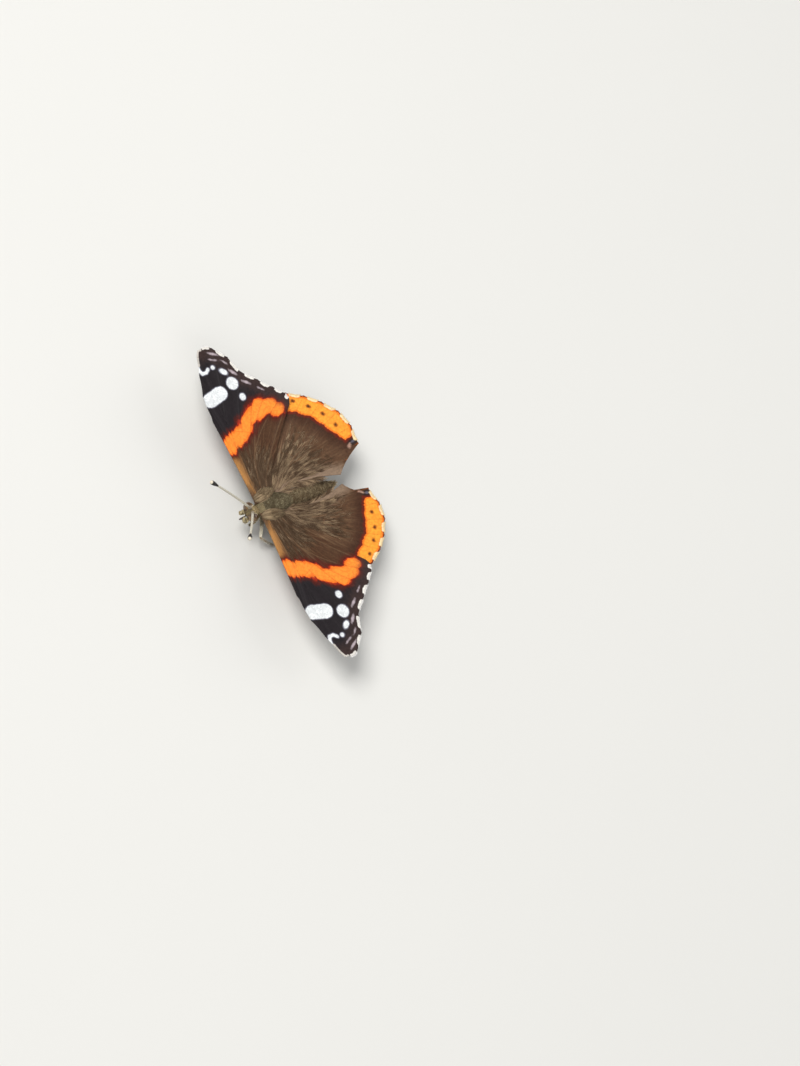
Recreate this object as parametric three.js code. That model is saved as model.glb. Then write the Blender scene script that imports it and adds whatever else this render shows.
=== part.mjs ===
// Red admiral butterfly, life size, basking with its wings spread nearly flat
// Millimetres, +Z up, head towards -Y, the butterfly's left side towards +X
// The origin is on the floor, under the middle of the whole outline
import * as THREE from 'three';

// Driving sizes of the body, measured from the middle of the thorax
const BODY_HEIGHT = 5.2; // body axis above the floor
const GAP = 0.3; // clearance where one part meets another
const THORAX = { front: -2.9, back: 4.2, neck: 1.45, waist: 1.4, widen: 1.2, deepen: 1.1 };
const ABDOMEN = { length: 10.3, root: 1.45, belly: 0.5, tip: 0.55, droop: 1.2, segments: 8, step: 0.09 };
const HEAD = { length: 2.2, rear: 1.05, widen: 0.12, deepen: 0.42, rise: 0.6 };
const FACE = THORAX.front - GAP - HEAD.length; // front end of the head, forwards being -Y
const EYE = { radius: 1.0, depth: 0.82, back: 0.22, behindFace: 1.08, rise: 0.1 };

// Driving sizes of the wings
const FOREWING_SWEEP = 5.5; // degrees that the shoulder-to-tip line leans back
// Each hindwing is held a little differently: swept back, sized, and leaning down or up behind the forewing
// Its inner edge bends round the abdomen, by places out from the middle of the body and back from the thorax
const HINDWING = {
  left: { sweep: 18, size: 0.985, lean: -6, innerBend: [2.95, 9.5], innerEnd: [0.6, 16.4] },
  right: { sweep: 13.5, size: 1.02, lean: 6, innerBend: [2.4, 9.5], innerEnd: [0.5, 15.6] },
};
const FORE_HINGE = { x: 2.6, y: -2.6, z: 1.45 };
const HIND_HINGE = { x: 2.5, y: 0.8, z: 0.35 };
const WING_RISE = 6.5; // degrees of upward slope at the shoulder
const WING_ARCH = 0.002; // fall per square millimetre outwards, which levels the tip
const MEMBRANE = 0.5; // thickness between the veins
const VEIN_HALF_WIDTH = 0.32;
const VEIN_RIDGE = 0.17; // height of a vein above the membrane at the wing root
const SCALLOP = 0.2; // how far the margin draws in between two veins
const TIP = { drawIn: 0.35, swell: 0.4 }; // the forewing tip is rounded: drawn in, with a fuller margin beside it
const TRAILING_EDGE = { x: 2.6, y: 0.4, normal: new THREE.Vector2(-0.635, 0.772) }; // of the forewing, in plan
const CELL_END = 0.45; // where the cross vein closes the cell, as a fraction of the way out
const ROOT_BLEND = 0.12; // fraction of the wing that is fitted to the side of the thorax
const ROOT_NEAREST = 1.7; // closest that a wing comes to the middle of the body

// Driving sizes of the legs, feelers and mouthparts
const LEG = { femur: 0.4, tibia: 0.28, tarsus: 0.26, claw: 0.15 };
const SOLE_HEIGHT = 0.16; // middle of a foot above the floor, less than its radius
const ANTENNA = { length: 14.5, shaft: 0.25, club: 0.5, clubLength: 2.6 };
const PALP = { radius: 0.31, tip: 0.14 };
const TONGUE = { coil: 0.62, pitch: 0.95, radius: 0.22, turns: 1.3 };

const COLOURS = {
  wingBrown: 0x5a4636, bodyBrown: 0x6b5a45, abdomenBrown: 0x4f4234,
  eyeBrown: 0x3a2a20, leg: 0xb89a6e, antenna: 0x2a2420, palp: 0xa08a68, tongue: 0x6a4a2c,
};

const radians = THREE.MathUtils.degToRad;
const lerp = THREE.MathUtils.lerp;
const clamp = THREE.MathUtils.clamp;

// A closed body through rings that all have as many points, ordered right-handed about the way along
function loft(rings) {
  const count = rings[0].length;
  const points = rings.flat();
  const faces = [];
  for (let i = 0; i < rings.length - 1; i++) {
    for (let j = 0; j < count; j++) {
      const next = (j + 1) % count;
      const a = i * count + j;
      const b = i * count + next;
      faces.push(a, b, b + count, a, b + count, a + count);
    }
  }
  const capCentre = (ring) => ring.reduce((sum, p) => sum.add(p), new THREE.Vector3()).divideScalar(count);
  const last = (rings.length - 1) * count;
  const first = points.push(capCentre(rings[0])) - 1;
  const end = points.push(capCentre(rings[rings.length - 1])) - 1;
  for (let j = 0; j < count; j++) {
    const next = (j + 1) % count;
    faces.push(first, next, j, end, last + j, last + next);
  }
  return new THREE.BufferGeometry().setFromPoints(points).setIndex(faces);
}

// An upright oval ring across the body axis, which runs towards +Y
function bodyRing(y, z, halfWidth, halfHeight, sides) {
  return Array.from({ length: sides }, (_, j) => {
    const turn = (2 * Math.PI * j) / sides;
    return new THREE.Vector3(halfWidth * Math.sin(turn), y, z + halfHeight * Math.cos(turn));
  });
}

// A round tube along a curve, its radius a function of the fraction along it
function tubeAlong(curve, steps, sides, radiusAt) {
  const frames = curve.computeFrenetFrames(steps, false);
  const rings = [];
  for (let i = 0; i <= steps; i++) {
    const centre = curve.getPointAt(i / steps);
    const radius = radiusAt(i / steps);
    const ring = [];
    for (let j = 0; j < sides; j++) {
      const turn = (2 * Math.PI * j) / sides;
      ring.push(centre.clone()
        .addScaledVector(frames.normals[i], radius * Math.cos(turn))
        .addScaledVector(frames.binormals[i], radius * Math.sin(turn)));
    }
    rings.push(ring);
  }
  return loft(rings);
}

function smoothPath(points) {
  return new THREE.CatmullRomCurve3(points.map((p) => new THREE.Vector3(...p)), false, 'centripetal');
}

// Width and height of the thorax at a place along the body
function thoraxAt(y) {
  const along = clamp((y - THORAX.front) / (THORAX.back - THORAX.front), 0, 1);
  const swell = Math.sin(Math.PI * along) ** 0.75;
  const end = lerp(THORAX.neck, THORAX.waist, along);
  return { halfWidth: end + THORAX.widen * swell, halfHeight: end + THORAX.deepen * swell };
}

function thoraxSide(y, z) {
  const { halfWidth, halfHeight } = thoraxAt(y);
  return halfWidth * Math.sqrt(Math.max(0, 1 - (z / halfHeight) ** 2));
}

function thoraxGeometry() {
  const steps = 14;
  const rings = [];
  for (let i = 0; i <= steps; i++) {
    const along = (1 - Math.cos((Math.PI * i) / steps)) / 2;
    const y = lerp(THORAX.front, THORAX.back, along);
    const { halfWidth, halfHeight } = thoraxAt(y);
    rings.push(bodyRing(y, 0, halfWidth, halfHeight, 20));
  }
  return loft(rings);
}

// Each abdominal plate swells towards its back edge and steps in under it
function abdomenGeometry() {
  const start = THORAX.back + GAP;
  const rings = [];
  for (let plate = 0; plate < ABDOMEN.segments; plate++) {
    for (const part of [0, 0.5, 0.94]) {
      const along = (plate + part) / ABDOMEN.segments;
      const body = lerp(ABDOMEN.root, ABDOMEN.tip, along ** 2.2) + ABDOMEN.belly * Math.sin(Math.PI * along ** 0.8);
      const radius = body + ABDOMEN.step * part;
      rings.push(bodyRing(start + ABDOMEN.length * along, -ABDOMEN.droop * along ** 1.5, radius, radius, 16));
    }
  }
  rings.push(bodyRing(start + ABDOMEN.length, -ABDOMEN.droop, ABDOMEN.tip * 0.5, ABDOMEN.tip * 0.5, 16));
  return loft(rings);
}

// Width and height of the head, from its flat rear face to the round front
function headAt(along) {
  const round = Math.sqrt(Math.max(0, 1 - along ** 4));
  const swell = Math.sin(Math.PI * along);
  return {
    halfWidth: (HEAD.rear + HEAD.widen * swell) * round,
    halfHeight: (HEAD.rear + HEAD.deepen * swell) * round,
  };
}

function headGeometry() {
  const steps = 12;
  const rings = [];
  for (let i = steps; i >= 0; i--) {
    const along = Math.min(0.995, Math.sin((Math.PI * i) / (2 * steps)));
    const { halfWidth, halfHeight } = headAt(along);
    rings.push(bodyRing(FACE + HEAD.length * (1 - along), HEAD.rise, halfWidth, halfHeight, 18));
  }
  return loft(rings);
}

// A compound eye is a dome whose hollow back follows the side of the head
function eyeGeometry(side) {
  const profile = [new THREE.Vector2(0, 0)];
  for (let i = 1; i <= 4; i++) {
    profile.push(new THREE.Vector2((EYE.radius * i) / 4, -EYE.back * (i / 4) ** 2));
  }
  for (let i = 1; i <= 6; i++) {
    const turn = (Math.PI * i) / 12;
    profile.push(new THREE.Vector2(EYE.radius * Math.cos(turn), EYE.depth * Math.sin(turn) - EYE.back * Math.cos(turn)));
  }
  profile[profile.length - 1].x = 0;
  const dome = new THREE.LatheGeometry(profile, 18);
  dome.rotateZ((-side * Math.PI) / 2);
  const { halfWidth } = headAt(1 - EYE.behindFace / HEAD.length);
  dome.translate(side * (halfWidth + GAP), FACE + EYE.behindFace, HEAD.rise + EYE.rise);
  return dome;
}

// A feeler rises forwards and outwards and ends in a club
function antennaGeometry(side, { outward, raised }) {
  const root = new THREE.Vector3(side * 0.5, FACE + 0.95, HEAD.rise + 1.66);
  const direction = new THREE.Vector3(
    side * Math.sin(radians(outward)) * Math.cos(radians(raised)),
    -Math.cos(radians(outward)) * Math.cos(radians(raised)),
    Math.sin(radians(raised)),
  );
  const middle = root.clone().addScaledVector(direction, ANTENNA.length * 0.5).add(new THREE.Vector3(0, 0.1, 0.35));
  const tip = root.clone().addScaledVector(direction, ANTENNA.length);
  const curve = new THREE.QuadraticBezierCurve3(root, middle, tip);
  const clubFrom = 1 - ANTENNA.clubLength / ANTENNA.length;
  return tubeAlong(curve, 24, 8, (along) => {
    const inClub = clamp((along - clubFrom) / (1 - clubFrom), 0, 1);
    const swell = Math.sin(Math.PI * inClub ** 1.3);
    return lerp(ANTENNA.shaft, 0.2, inClub) + (ANTENNA.club - ANTENNA.shaft) * swell;
  });
}

// A palp rises in front of the face beside the coiled tongue
function palpGeometry(side) {
  const joints = [[0.82, 0.7, -1.7], [0.85, 0.1, -1.6], [0.74, -0.36, -0.85], [0.52, -0.62, 0.45]];
  const path = smoothPath(joints.map(([x, y, z]) => [side * x, FACE + y, HEAD.rise + z]));
  return tubeAlong(path, 10, 8, (along) => lerp(PALP.radius, PALP.tip, along ** 3));
}

// The tongue lies coiled under the face, between the palps
function proboscisGeometry() {
  const centre = new THREE.Vector3(0, FACE + 0.3, HEAD.rise - 2.35);
  const steps = 22;
  const points = [];
  for (let i = 0; i <= steps; i++) {
    const turn = Math.PI * 0.5 + (2 * Math.PI * TONGUE.turns * i) / steps;
    const reach = TONGUE.coil * 2 - (TONGUE.pitch * TONGUE.turns * i) / steps;
    points.push([0, centre.y + reach * Math.cos(turn) * 0.8, centre.z + reach * Math.sin(turn) * 0.55]);
  }
  return tubeAlong(smoothPath(points), steps, 6, () => TONGUE.radius);
}

// A walking leg: a thick femur out to the knee, a tibia down, and a flat-soled tarsus
function legGeometry(side, joints) {
  const path = smoothPath(joints.map(([x, y, z]) => [side * x, y, z]));
  const geometry = tubeAlong(path, 26, 8, (along) => {
    if (along < 0.36) {
      return LEG.femur - 0.06 * Math.cos(2 * Math.PI * (along / 0.36));
    }
    return lerp(LEG.tibia, along < 0.94 ? LEG.tarsus : LEG.claw, (along - 0.36) / 0.64);
  });
  const floor = -BODY_HEIGHT;
  const place = geometry.attributes.position;
  for (let i = 0; i < place.count; i++) {
    place.setZ(i, Math.max(floor, place.getZ(i)));
  }
  return geometry;
}

function bezier(from, bend, to) {
  const curve = new THREE.QuadraticBezierCurve(
    new THREE.Vector2(...from), new THREE.Vector2(...bend), new THREE.Vector2(...to));
  return (v) => curve.getPoint(v);
}

// A branch leaves its parent vein and takes its own bend to the margin
function branch(parent, start, bend, to) {
  const from = parent(start);
  const own = bezier([from.x, from.y], bend, to);
  return (v) => (v < start ? parent(v) : own((v - start) / (1 - start)));
}

// A median vein starts on the cross vein, between the stems above and below the cell
function medianVein(upper, lower, across, bend, to) {
  const from = upper(CELL_END).lerp(lower(CELL_END), across);
  const own = bezier([from.x, from.y], bend, to);
  return (v) => {
    if (v < CELL_END) {
      return upper(v).lerp(lower(v), across);
    }
    return own((v - CELL_END) / (1 - CELL_END));
  };
}

// Forewing veins from the leading edge to the trailing edge, along and across the shoulder-to-tip line
function forewingVeins() {
  const radius = bezier([0, -0.6], [14, 1.0], [30.3, 0.45]);
  const cubitus = bezier([0.1, -1.5], [15, -3.2], [19.7, -11.2]);
  return [
    { at: bezier([0, 0.3], [7.5, 1.6], [15.5, 3.0]), edge: true },
    { at: bezier([0, -0.1], [8, 1.0], [17.6, 3.1]), stem: true },
    { at: branch(radius, 0.33, [15, 1.9], [20.8, 3.1]), start: 0.33 },
    { at: branch(radius, CELL_END, [19.5, 1.6], [24.6, 2.45]), start: CELL_END },
    { at: branch(radius, 0.62, [24.3, 1.1], [28.3, 1.6]), start: 0.62 },
    { at: radius, stem: true, tip: true },
    { at: branch(radius, 0.52, [22, -1.3], [29.7, -1.9]), start: 0.52 },
    { at: medianVein(radius, cubitus, 0.15, [20.5, -1.0], [27.4, -4.35]), start: CELL_END },
    { at: medianVein(radius, cubitus, 0.5, [19, -3.0], [23.9, -6.0]), start: CELL_END },
    { at: medianVein(radius, cubitus, 0.85, [17.5, -5.3], [21.7, -8.6]), start: CELL_END },
    { at: cubitus, stem: true },
    { at: branch(cubitus, 0.28, [12.8, -5.6], [17.9, -13.1]), start: 0.28 },
    { at: bezier([0.3, -2.3], [8.5, -6.2], [16.6, -13.6]), stem: true },
    { at: bezier([0.4, -3.0], [8.5, -7.8], [15.4, -13.2]), edge: true },
  ];
}

function polar(radius, degrees) {
  return [radius * Math.cos(radians(degrees)), radius * Math.sin(radians(degrees))];
}

// Hindwing veins fan from the hinge; the last edge lies along the abdomen, whatever the sweep
function hindwingVeins({ sweep, size, innerBend, innerEnd }) {
  const margin = (radius, degrees) => polar(radius * size, degrees);
  const besideAbdomen = (x, y) => {
    const [outward, back] = [x - HIND_HINGE.x, y - HIND_HINGE.y];
    return polar(Math.hypot(outward, back), sweep - Math.atan2(back, outward) * THREE.MathUtils.RAD2DEG);
  };
  const radius = bezier([0.1, 0.1], [8.5, -0.6], margin(19.3, -12));
  const cubitus = bezier([0.1, -0.8], [6.5, -6.0], margin(21.9, -50.5));
  return [
    { at: bezier([0.1, 0.7], [7, 2.0], margin(16.4, -3)), edge: true },
    { at: branch(radius, 0.2, [10, 0.8], margin(17.9, -6.5)), start: 0.2 },
    { at: radius, stem: true },
    { at: medianVein(radius, cubitus, 0.15, [14, -4.6], margin(20.2, -21.5)), start: CELL_END },
    { at: medianVein(radius, cubitus, 0.5, [12.6, -6.9], margin(20.9, -31.5)), start: CELL_END },
    { at: medianVein(radius, cubitus, 0.85, [11.5, -8.6], margin(21.5, -41)), start: CELL_END },
    { at: cubitus, stem: true },
    { at: branch(cubitus, 0.3, [7.0, -10.0], margin(21.7, -60.5)), start: 0.3 },
    { at: bezier([0.1, -1.3], [3.6, -9.0], margin(20.8, -70)), stem: true },
    { at: bezier([0.1, -1.8], besideAbdomen(3.6, 10.0), besideAbdomen(2.7, 18.2)), stem: true },
    { at: bezier([0.1, -2.3], besideAbdomen(...innerBend), besideAbdomen(...innerEnd)), edge: true },
  ];
}

// How far a place lies inside the line from vein end to vein end, at a fraction across the space between them
function drawnIn(order, tipOrder, fraction) {
  const fromTip = Math.abs(order - tipOrder);
  if (fromTip < 1) {
    return TIP.drawIn * (1 - fromTip) ** 2 - TIP.swell * Math.sin(Math.PI * fraction);
  }
  return SCALLOP * Math.sin(Math.PI * fraction);
}

// Points across the wing at one fraction of the way out, from the leading to the trailing edge
function wingRow(veins, v, crossVein) {
  const tipOrder = veins.findIndex((vein) => vein.tip);
  const moveIn = (spot, distance) => spot.multiplyScalar(1 - distance * v ** 8 / Math.max(spot.length(), 1));
  const shown = [];
  veins.forEach((vein, order) => {
    const place = vein.at(v);
    const parted = shown.every((other) => place.distanceTo(other.place) > 2 * VEIN_HALF_WIDTH);
    const nextStem = veins.slice(order + 1).find((other) => other.stem || other.edge);
    const clear = !nextStem || place.distanceTo(nextStem.at(v)) > 2 * VEIN_HALF_WIDTH;
    if (vein.stem || vein.edge || (v >= vein.start && parted && clear)) {
      shown.push({ order, place, vein });
    }
  });
  const ridge = VEIN_RIDGE * (1 - 0.5 * v);
  const row = [];
  shown.forEach(({ order, place, vein }, k) => {
    const crest = moveIn(place.clone(), vein.tip ? TIP.drawIn : 0);
    row.push({ order, place: crest, lift: vein.edge ? 0 : ridge });
    if (k === shown.length - 1) {
      return;
    }
    const after = shown[k + 1];
    const gap = place.distanceTo(after.place);
    const flank = Math.min(VEIN_HALF_WIDTH / gap, 0.3);
    const fractions = [];
    if (!vein.edge) {
      fractions.push(flank);
    }
    const middles = Math.max(1, Math.round(gap / 2.4));
    for (let m = 1; m <= middles; m++) {
      fractions.push(lerp(flank, 1 - flank, m / (middles + 1)));
    }
    if (!after.vein.edge) {
      fractions.push(1 - flank);
    }
    for (const f of fractions) {
      const lift = crossVein && order >= crossVein.from && after.order <= crossVein.to ? ridge : 0;
      const between = lerp(order, after.order, f);
      const spot = moveIn(place.clone().lerp(after.place, f), drawnIn(between, tipOrder, f));
      row.push({ order: between, place: spot, lift });
    }
  });
  return row;
}

// Triangles between two rows of points, whatever number each has
function zip(near, far) {
  const triangles = [];
  let i = 0;
  let j = 0;
  while (i < near.length - 1 || j < far.length - 1) {
    const stepNear = j === far.length - 1
      || (i < near.length - 1 && near[i + 1].order <= far[j + 1].order);
    if (stepNear) {
      triangles.push([near[i].index, far[j].index, near[i + 1].index]);
      i++;
    } else {
      triangles.push([near[i].index, far[j].index, far[j + 1].index]);
      j++;
    }
  }
  return triangles;
}

// Height of a wing's middle surface, arched from the shoulder to the tip
function wingHeight(hinge, lean, x, y) {
  const outward = x - FORE_HINGE.x;
  const arch = Math.tan(radians(WING_RISE)) * outward - WING_ARCH * outward ** 2;
  const behind = TRAILING_EDGE.normal.x * (x - TRAILING_EDGE.x) + TRAILING_EDGE.normal.y * (y - TRAILING_EDGE.y);
  return hinge.z + arch + Math.tan(radians(lean)) * Math.max(0, behind);
}

// One wing as a closed sheet: the same triangles on both faces, veins raised on each, and a rim
function wingGeometry(side, veins, crossVein, hinge, { sweep, lean }, rowFractions) {
  const cos = Math.cos(radians(sweep));
  const sin = Math.sin(radians(sweep));
  const underside = Math.max(0, hinge.z - MEMBRANE);
  let count = 0;
  const rows = rowFractions.map((v) => wingRow(veins, v, v === CELL_END ? crossVein : null).map((point) => {
    let x = hinge.x + point.place.x * cos + point.place.y * sin;
    const y = hinge.y + point.place.x * sin - point.place.y * cos;
    const rooted = clamp(1 - v / ROOT_BLEND, 0, 1);
    x = lerp(x, Math.max(ROOT_NEAREST, thoraxSide(y, underside) + GAP), rooted);
    return { ...point, x: side * x, y, z: wingHeight(hinge, lean, x, y), index: count++ };
  }));
  const points = rows.flat();
  const top = points.map((p) => new THREE.Vector3(p.x, p.y, p.z + MEMBRANE / 2 + p.lift));
  const bottom = points.map((p) => new THREE.Vector3(p.x, p.y, p.z - MEMBRANE / 2 - p.lift * 0.6));
  const faces = [];
  const add = (a, b, c) => faces.push(...(side > 0 ? [a, b, c] : [a, c, b]));
  for (let r = 0; r < rows.length - 1; r++) {
    for (const [a, b, c] of zip(rows[r], rows[r + 1])) {
      add(a, b, c);
      add(a + count, c + count, b + count);
    }
  }
  const rim = [
    ...rows[0].map((p) => p.index).reverse(),
    ...rows.slice(1, -1).map((row) => row[0].index),
    ...rows[rows.length - 1].map((p) => p.index),
    ...rows.slice(1, -1).map((row) => row[row.length - 1].index).reverse(),
  ];
  rim.forEach((a, k) => {
    const b = rim[(k + 1) % rim.length];
    add(a, a + count, b + count);
    add(a, b + count, b);
  });
  return new THREE.BufferGeometry().setFromPoints([...top, ...bottom]).setIndex(faces);
}

// Rows crowd together only round the cross vein
function rowFractions(rows) {
  const even = Array.from({ length: rows + 1 }, (_, i) => i / rows);
  const nearCross = [CELL_END - 0.016, CELL_END, CELL_END + 0.016];
  const kept = even.filter((v) => Math.abs(v - CELL_END) > 0.03);
  return [...kept, ...nearCross].sort((a, b) => a - b);
}

function part(name, geometry, colour, roughness = 0.8) {
  const mesh = new THREE.Mesh(geometry, new THREE.MeshStandardMaterial({ color: colour, roughness, metalness: 0 }));
  mesh.name = name;
  return mesh;
}

const body = new THREE.Group();
body.position.z = BODY_HEIGHT;
body.add(
  part('thorax', thoraxGeometry(), COLOURS.bodyBrown),
  part('abdomen', abdomenGeometry(), COLOURS.abdomenBrown),
  part('head', headGeometry(), COLOURS.bodyBrown),
  part('proboscis', proboscisGeometry(), COLOURS.tongue, 0.4),
);

// Joints of the walking legs: hip, trochanter, knee, shin, ankle, foot and claw, outwards being positive
const ANKLE = SOLE_HEIGHT - BODY_HEIGHT + 0.1;
const SOLE = SOLE_HEIGHT - BODY_HEIGHT;
const MIDLEG = {
  left: [
    [1.0, -0.9, -2.65], [1.4, -1.2, -3.15], [4.6, -3.4, -2.3], [5.5, -2.0, -3.7],
    [6.3, -0.4, ANKLE], [7.1, 0.7, SOLE], [8.5, 2.3, SOLE],
  ],
  right: [
    [1.0, -0.7, -2.65], [1.4, -0.8, -3.15], [4.9, -0.5, -2.0], [6.0, 0.4, -3.5],
    [6.9, 1.2, ANKLE], [7.9, 1.9, SOLE], [9.6, 2.9, SOLE],
  ],
};
const HINDLEG = {
  left: [
    [1.0, 1.7, -2.65], [1.4, 2.3, -3.15], [4.7, 5.4, -2.0], [5.1, 6.6, -3.5],
    [5.4, 7.8, ANKLE], [5.8, 9.1, SOLE], [6.4, 10.9, SOLE],
  ],
  right: [
    [1.0, 1.7, -2.65], [1.3, 2.4, -3.15], [4.3, 5.7, -2.1], [4.8, 6.9, -3.5],
    [5.1, 8.0, ANKLE], [5.4, 9.3, SOLE], [5.8, 11.2, SOLE],
  ],
};
// A brush foot stays folded under the breast and never reaches the ground
const FORELEG = [[0.8, -2.3, -2.35], [1.3, -3.0, -3.0], [1.5, -4.2, -2.9], [1.5, -3.9, -2.2]];
const FEELER = { left: { outward: 41, raised: 45.3 }, right: { outward: 27.2, raised: 42.6 } };
const FOREWING = { sweep: FOREWING_SWEEP, lean: 0 };

for (const [sideName, side] of [['left', 1], ['right', -1]]) {
  body.add(
    part(`eye_${sideName}`, eyeGeometry(side), COLOURS.eyeBrown, 0.25),
    part(`antenna_${sideName}`, antennaGeometry(side, FEELER[sideName]), COLOURS.antenna, 0.5),
    part(`palp_${sideName}`, palpGeometry(side), COLOURS.palp),
    part(`forewing_${sideName}`, wingGeometry(
      side, forewingVeins(), { from: 5, to: 10 }, FORE_HINGE, FOREWING, rowFractions(14)), COLOURS.wingBrown),
    part(`hindwing_${sideName}`, wingGeometry(
      side, hindwingVeins(HINDWING[sideName]), { from: 2, to: 6 }, HIND_HINGE,
      HINDWING[sideName], rowFractions(12)), COLOURS.wingBrown),
    part(`midleg_${sideName}`, legGeometry(side, MIDLEG[sideName]), COLOURS.leg),
    part(`hindleg_${sideName}`, legGeometry(side, HINDLEG[sideName]), COLOURS.leg),
    part(`foreleg_${sideName}`, legGeometry(side, FORELEG), COLOURS.leg),
  );
}

// The whole is set over the middle of its outline
const group = new THREE.Group();
group.add(body);
group.updateMatrixWorld(true);
const middle = new THREE.Box3().setFromObject(body, true).getCenter(new THREE.Vector3());
body.position.x = -middle.x;
body.position.y = -middle.y;

export default group;
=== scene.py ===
# %% [markdown]
# # Red admiral butterfly
# A life-size red admiral basking with its wings spread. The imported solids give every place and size; the
# pieces below take their place with thinner wings, a coat of hair and the painted scales. Lengths are
# written in millimetres, measured from the middle of the thorax, with the head towards -Y and the
# butterfly's left side towards +X. One function turns them into metres in the shared frame.

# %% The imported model
import math
import bpy
import numpy as np
from mathutils import Matrix, Vector


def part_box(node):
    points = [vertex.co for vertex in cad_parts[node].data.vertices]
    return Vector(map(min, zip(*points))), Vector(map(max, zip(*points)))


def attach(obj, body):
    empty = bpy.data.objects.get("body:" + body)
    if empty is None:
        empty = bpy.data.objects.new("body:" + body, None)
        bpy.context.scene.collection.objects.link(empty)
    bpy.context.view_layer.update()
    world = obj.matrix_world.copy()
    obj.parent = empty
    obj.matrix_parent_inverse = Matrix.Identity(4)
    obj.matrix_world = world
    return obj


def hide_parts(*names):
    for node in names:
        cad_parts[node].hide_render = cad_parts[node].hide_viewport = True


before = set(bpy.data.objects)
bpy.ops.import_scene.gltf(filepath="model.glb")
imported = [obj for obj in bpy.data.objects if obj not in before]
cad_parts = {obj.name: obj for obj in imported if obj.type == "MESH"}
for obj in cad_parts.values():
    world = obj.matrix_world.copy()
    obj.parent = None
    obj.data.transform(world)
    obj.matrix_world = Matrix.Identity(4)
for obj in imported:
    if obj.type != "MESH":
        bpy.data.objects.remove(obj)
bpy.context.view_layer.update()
print("solids in the frame:", sorted(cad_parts))

# %% [markdown]
# ## One origin for every piece
# The solids stand on the floor, and the whole outline is centred, so the middle of the thorax isn't at
# the origin. Its place is read from the thorax itself: the front face lies a known distance before the
# middle.

# %% Body frame to shared frame
MM = 0.001
BODY_HEIGHT = 5.2  # body axis above the floor
THORAX = {"front": -2.9, "back": 4.2, "neck": 1.45, "waist": 1.4, "widen": 1.2, "deepen": 1.1}
GAP = 0.3  # clearance between two solids
thorax_low, thorax_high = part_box("thorax")
ORIGIN = np.array([
    (thorax_low.x + thorax_high.x) / 2,
    thorax_low.y - THORAX["front"] * MM,
    BODY_HEIGHT * MM,
])


def placed(points):
    """Millimetres about the middle of the thorax to metres in the shared frame."""
    return ORIGIN + np.asarray(points, float) * MM


print("middle of the thorax, in metres:", ORIGIN.round(5).tolist())

# %% [markdown]
# ## Small tools
# Colours are written as on screen, in sRGB, and one function turns them to the linear values of the
# shaders. Two more scale vectors to length one and blend two values, which nearly every piece needs.

# %% Colours and vectors


def linear(hex_colour):
    """An sRGB hex colour as linear RGBA."""
    parts = [int(hex_colour[i:i + 2], 16) / 255 for i in (1, 3, 5)]
    curve = [c / 12.92 if c <= 0.04045 else ((c + 0.055) / 1.055) ** 2.4 for c in parts]
    return (*curve, 1.0)


def unit(vectors):
    """Vectors scaled to length one."""
    return vectors / np.maximum(np.linalg.norm(vectors, axis=-1, keepdims=True), 1e-9)


def lerp(a, b, t):
    return a + (b - a) * t


SIDES = {"left": 1, "right": -1}  # which way is outwards, along +X


# %% [markdown]
# ## From arrays to a mesh
# Every piece here is made of points and faces worked out with numpy, which is quick for the thousands of
# hairs. Blender's own hair curves would be lighter, but they aren't solid meshes. One helper turns the
# arrays into a mesh, adds the fields that the materials read, and ties it to the frame. Each piece also
# gets a place on a flat map, into which its colours can be baked.

# %% A mesh piece
MAP_BORDER = 0.02  # kept free round the bake map


def on_map(shares):
    """Fractions from 0 to 1 as places on the bake map, clear of its border."""
    return MAP_BORDER + (1 - 2 * MAP_BORDER) * shares


def make_piece(name, points, faces, materials, stands_for=(), fields=None, face_uv=None,
               finish_of=None):
    """A smooth mesh piece in the shared frame, from points in millimetres."""
    mesh = bpy.data.meshes.new(name)
    mesh.from_pydata(placed(points).tolist(), [], faces)
    for material in materials:
        mesh.materials.append(material)
    mesh.polygons.foreach_set("use_smooth", [True] * len(mesh.polygons))
    if finish_of is not None:
        mesh.polygons.foreach_set("material_index", finish_of)
    for field, values in (fields or {}).items():
        values = np.asarray(values, np.float32)
        kind, key = ("FLOAT", "value") if values.ndim == 1 else ("FLOAT_VECTOR", "vector")
        mesh.attributes.new(field, kind, "POINT").data.foreach_set(key, values.ravel())
    if face_uv is not None:
        corners = np.asarray(face_uv, np.float32).ravel()
        mesh.uv_layers.new(name="OFBake").data.foreach_set("uv", corners)
    mesh.update()
    piece = bpy.data.objects.new(name, mesh)
    bpy.context.scene.collection.objects.link(piece)
    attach(piece, "root")
    if stands_for:
        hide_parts(*stands_for)
    print(f"{name}: {len(points)} points, {len(faces)} faces")
    return piece


# %% [markdown]
# ## Shader nodes
# A material is a small network of nodes. One helper adds a node with its settings, values and links, so
# each finish below reads from its pattern down to its colour. Another starts a finish from its roughness
# and its index of refraction, which is about 1.56 for chitin, the horny stuff that an insect is made of.

# %% Nodes and finishes


def node(tree, kind, inputs=None, **settings):
    """One shader node with its settings, input values and links."""
    new = tree.nodes.new(kind)
    for setting, value in settings.items():
        setattr(new, setting, value)
    for key, value in (inputs or {}).items():
        if isinstance(value, bpy.types.NodeSocket):
            tree.links.new(value, new.inputs[key])
        else:
            new.inputs[key].default_value = value
    return new


def new_finish(name, roughness, ior=1.5, **settings):
    """A material with one Principled shader; keyword names are its sockets, with _ for a space."""
    material = bpy.data.materials.new(name)
    material.use_nodes = True
    tree = material.node_tree
    shader = tree.nodes["Principled BSDF"]
    shader.inputs["Roughness"].default_value = roughness
    shader.inputs["IOR"].default_value = ior
    for socket, value in settings.items():
        shader.inputs[socket.replace("_", " ")].default_value = value
    return material, tree, shader


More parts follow.
